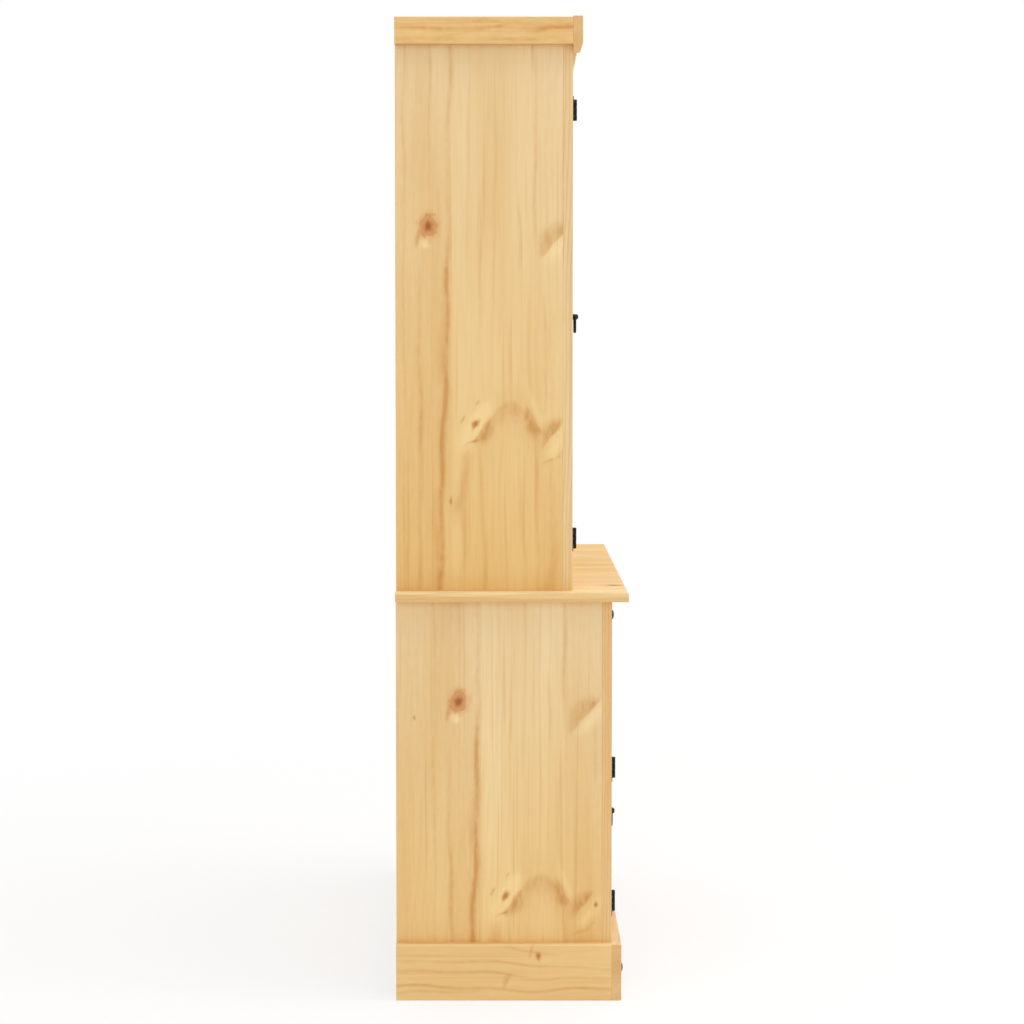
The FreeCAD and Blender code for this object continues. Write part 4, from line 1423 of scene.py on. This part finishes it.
class HIGHBOARD_OT_drawer_pulls(Operator):
    """Build the bail pulls of the two drawers"""

    bl_idname = "highboard.drawer_pulls"
    bl_label = "Drawer pulls"

    # The plate's width and length; the posts' half width, reach and head
    plate = (26, 104)
    post = (4.5, 10, 2.2)
    post_offset = 32
    screw_offset = 18
    # The bail, from its pivot: half span, grip's level, radius of the bends and half width
    arm = 39.9
    low = -22.2
    bend = 11
    half = 2.4
    pin = 1.5
    pin_reach = 9.3
    # Radii and heights of the pin's head, in pin radii
    head = ((1.4, 1.5), (1.4, 1.9), (1.1, 2.2), (0.5, 2.4), (0.05, 2.42))

    def execute(self, context):
        face = DRAWER[Y][0]
        for side in SIDES:
            x, y, z = pivots[f"{side}_bail_pivot"]
            prefix = f"{side}_drawer_pull"
            mount = Shell(prefix)
            add_plate(mount, spear(x, z, *self.plate, True), face)
            for sign in (-1, 1):
                add_post(mount, x + sign * self.post_offset, face, z, *self.post)
                add_screw(mount, x + sign * self.screw_offset, face - LEAF, z, 50 + 20 * sign)
            mount.build(prefix + "_plate", "forged")
            bail = Shell(prefix, 1)
            self.add_bail(bail, x, y, z)
            bail.build(prefix + "_bail", "forged")
        return {"FINISHED"}

    def add_bail(self, shell, x, y, z):
        """A square bar along straight arms, a quarter circle at each bend, and a straight grip."""
        angle = np.linspace(math.pi, 1.5 * math.pi, 9)
        curve = self.bend * np.stack([1 + np.cos(angle), 1 + np.sin(angle)], 1)
        start = [(-self.arm, self.half), (-self.arm, 0)]
        left = np.array([*start, *(curve + (-self.arm, self.low)), (-self.bend, self.low)])
        flat = np.concatenate([left, (left * (-1, 1))[::-1]])
        path = np.stack([x + flat[:, 0], np.full(len(flat), y), z + flat[:, 1]], 1)
        shell.add(bent_bar(path, self.half, 0.4 * self.half))
        stub = [(self.pin, -self.pin_reach), *((self.pin * r, self.pin * h) for r, h in self.head)]
        for sign in (-1, 1):
            shell.add(revolved(stub, (x + sign * self.arm, y, z), (sign, 0, 0), 16))


class HIGHBOARD_OT_studs(Operator):
    """Build the domed iron studs"""

    bl_idname = "highboard.studs"
    bl_label = "Studs"

    def execute(self, context):
        outer = span("iron_studs", X)[1] - STUD
        low, high = span("iron_studs", Z)
        front = span("plinth_front", Y)[0]
        places = [(x, BASE_FRAME[0], high - STUD) for x in (-outer, 0, outer)]
        places += [(x, front, low + STUD) for x in (-outer, -POST, POST, outer)]
        angle = np.linspace(0, 0.49 * math.pi, 7)
        rim = 0.1 * STUD_HEIGHT
        dome = np.stack([STUD * np.cos(angle), rim + (STUD_HEIGHT - rim) * np.sin(angle)], 1)
        shell = Shell("studs")
        for place in places:
            shell.add(revolved(np.concatenate([[(STUD, 0)], dome]), place, (0, -1, 0)))
        shell.build("iron_studs", "domed")
        return {"FINISHED"}


class HIGHBOARD_OT_stage(Operator):
    """Make the pale floor, the soft light and the camera"""

    bl_idname = "highboard.stage"
    bl_label = "Stage"

    # Place, target, side length in metres and watts
    lamps = {
        "overhead": ((0, -0.6, 4.2), (0, -0.2, 0), 4.0, 84),
        "front": ((-0.6, -4.2, 3.6), (0, 0, 0.9), 2.4, 52),
        "near_end": ((-5.2, 1.8, 3.0), (0, 0, 0.9), 3.0, 38),
    }
    # The camera's sensor and lens in millimetres, its shift in frame heights and its pitch
    sensor = 36
    lens = 81.34
    shift = -0.0307
    pitch = math.radians(3)
    # The floor, in metres: half its side, how far it lies below the feet, and where it fades
    floor_half = 12
    floor_drop = 0.5 * MM
    fade_start = 0.5
    fade_end = 3.0

    def execute(self, context):
        scene = context.scene
        stage = scene.highboard_stage
        scene.view_settings.view_transform = "Standard"
        self.surroundings(scene, stage)
        self.floor(scene, stage)
        for name, (place, target, size, power) in self.lamps.items():
            light = bpy.data.lights.new(name, "AREA")
            light.size = size
            light.energy = power
            lamp = bpy.data.objects.new(name, light)
            scene.collection.objects.link(lamp)
            lamp.location = place
            dx, dy, dz = (t - p for p, t in zip(place, target))
            lamp.rotation_euler = (math.atan2(math.hypot(dx, dy), -dz), 0, math.atan2(-dx, dy))
        lens = bpy.data.cameras.new("side_camera")
        lens.sensor_width = self.sensor
        lens.lens = self.lens
        lens.shift_y = self.shift
        scene.camera = bpy.data.objects.new("side_camera", lens)
        scene.collection.objects.link(scene.camera)
        scene.camera.location = (-stage.distance, 0, stage.height)
        scene.camera.rotation_euler = (math.pi / 2 - self.pitch, 0, -math.pi / 2)
        return {"FINISHED"}

    def seen(self, tree):
        """1 for what the camera, a mirror or glass sees, and 0 for what lights the object."""
        rays = add(tree, "LightPath").node.outputs
        either = add(tree, "larger", [rays["Is Camera Ray"], rays["Is Glossy Ray"]])
        return add(tree, "larger", [either, rays["Is Transmission Ray"]])

    def surroundings(self, scene, stage):
        """White where it is seen, and a soft even light on the object."""
        scene.world = bpy.data.worlds.new("white studio")
        scene.world.use_nodes = True
        tree = scene.world.node_tree
        tree.nodes.clear()
        strength = add(tree, "MapRange", [self.seen(tree), 0, 1, stage.ambient, 1])
        light = add(tree, "Background", {"Color": grey(1), "Strength": strength})
        add(tree, "OutputWorld", {"Surface": light})

    def floor(self, scene, stage):
        """A square grid that fades to white away from the highboard, and keeps its shadow."""
        lines = np.linspace(-self.floor_half, self.floor_half, 9)
        a, b = np.meshgrid(lines, lines, indexing="ij")
        points = np.stack([a, b, np.full_like(a, -self.floor_drop)], -1).reshape(-1, 3)
        mesh = bpy.data.meshes.new("studio_floor")
        mesh.from_pydata(points, [], grid_faces(np.arange(a.size).reshape(a.shape)))
        finish, tree = new_finish("pale studio floor")
        place = add(tree, "TexCoord", out="Object")
        away = add(tree, "length", [place])
        white = add(tree, "fade", [away, self.fade_start, self.fade_end, 0.7, 1])
        share = add(tree, "times", [self.seen(tree), white])
        matt = {"Base Color": stage.floor, "Roughness": 0.9, "Specular IOR Level": 0.1}
        matt = add(tree, "BsdfPrincipled", matt)
        glow = add(tree, "Emission", {"Color": grey(1), "Strength": 1})
        shader = add(tree, "MixShader", [share, matt, glow])
        add(tree, "OutputMaterial", {"Surface": shader})
        mesh.materials.append(finish)
        floor = bpy.data.objects.new("studio_floor", mesh)
        scene.collection.objects.link(floor)


OPERATORS = (
    HIGHBOARD_OT_ends,
    HIGHBOARD_OT_carcass,
    HIGHBOARD_OT_backs,
    HIGHBOARD_OT_worktop,
    HIGHBOARD_OT_scallops,
    HIGHBOARD_OT_doors,
    HIGHBOARD_OT_drawers,
    HIGHBOARD_OT_hinges,
    HIGHBOARD_OT_door_pulls,
    HIGHBOARD_OT_drawer_pulls,
    HIGHBOARD_OT_studs,
    HIGHBOARD_OT_stage,
)
GROUPS = {
    "highboard_pine": PineSettings,
    "highboard_iron": IronSettings,
    "highboard_stage": StageSettings,
}


class HIGHBOARD_PT_pieces(Panel):
    """Lists the highboard's pieces and their settings"""

    bl_idname = "HIGHBOARD_PT_pieces"
    bl_label = "Highboard"
    bl_space_type = "VIEW_3D"
    bl_region_type = "UI"
    bl_category = "Highboard"

    def draw(self, context):
        for operator in OPERATORS:
            self.layout.operator(operator.bl_idname)
        for name, group in GROUPS.items():
            box = self.layout.box()
            for setting in group.__annotations__:
                box.prop(getattr(context.scene, name), setting)


def register():
    for kind in (*GROUPS.values(), *OPERATORS, HIGHBOARD_PT_pieces):
        bpy.utils.register_class(kind)
    for name, group in GROUPS.items():
        setattr(bpy.types.Scene, name, PointerProperty(type=group))


def unregister():
    for name in GROUPS:
        delattr(bpy.types.Scene, name)
    for kind in (HIGHBOARD_PT_pieces, *reversed(OPERATORS), *reversed(GROUPS.values())):
        bpy.utils.unregister_class(kind)


def main():
    register()
    for operator in OPERATORS:
        getattr(bpy.ops.highboard, operator.bl_idname.split(".")[1])()


if __name__ == "__main__":
    main()
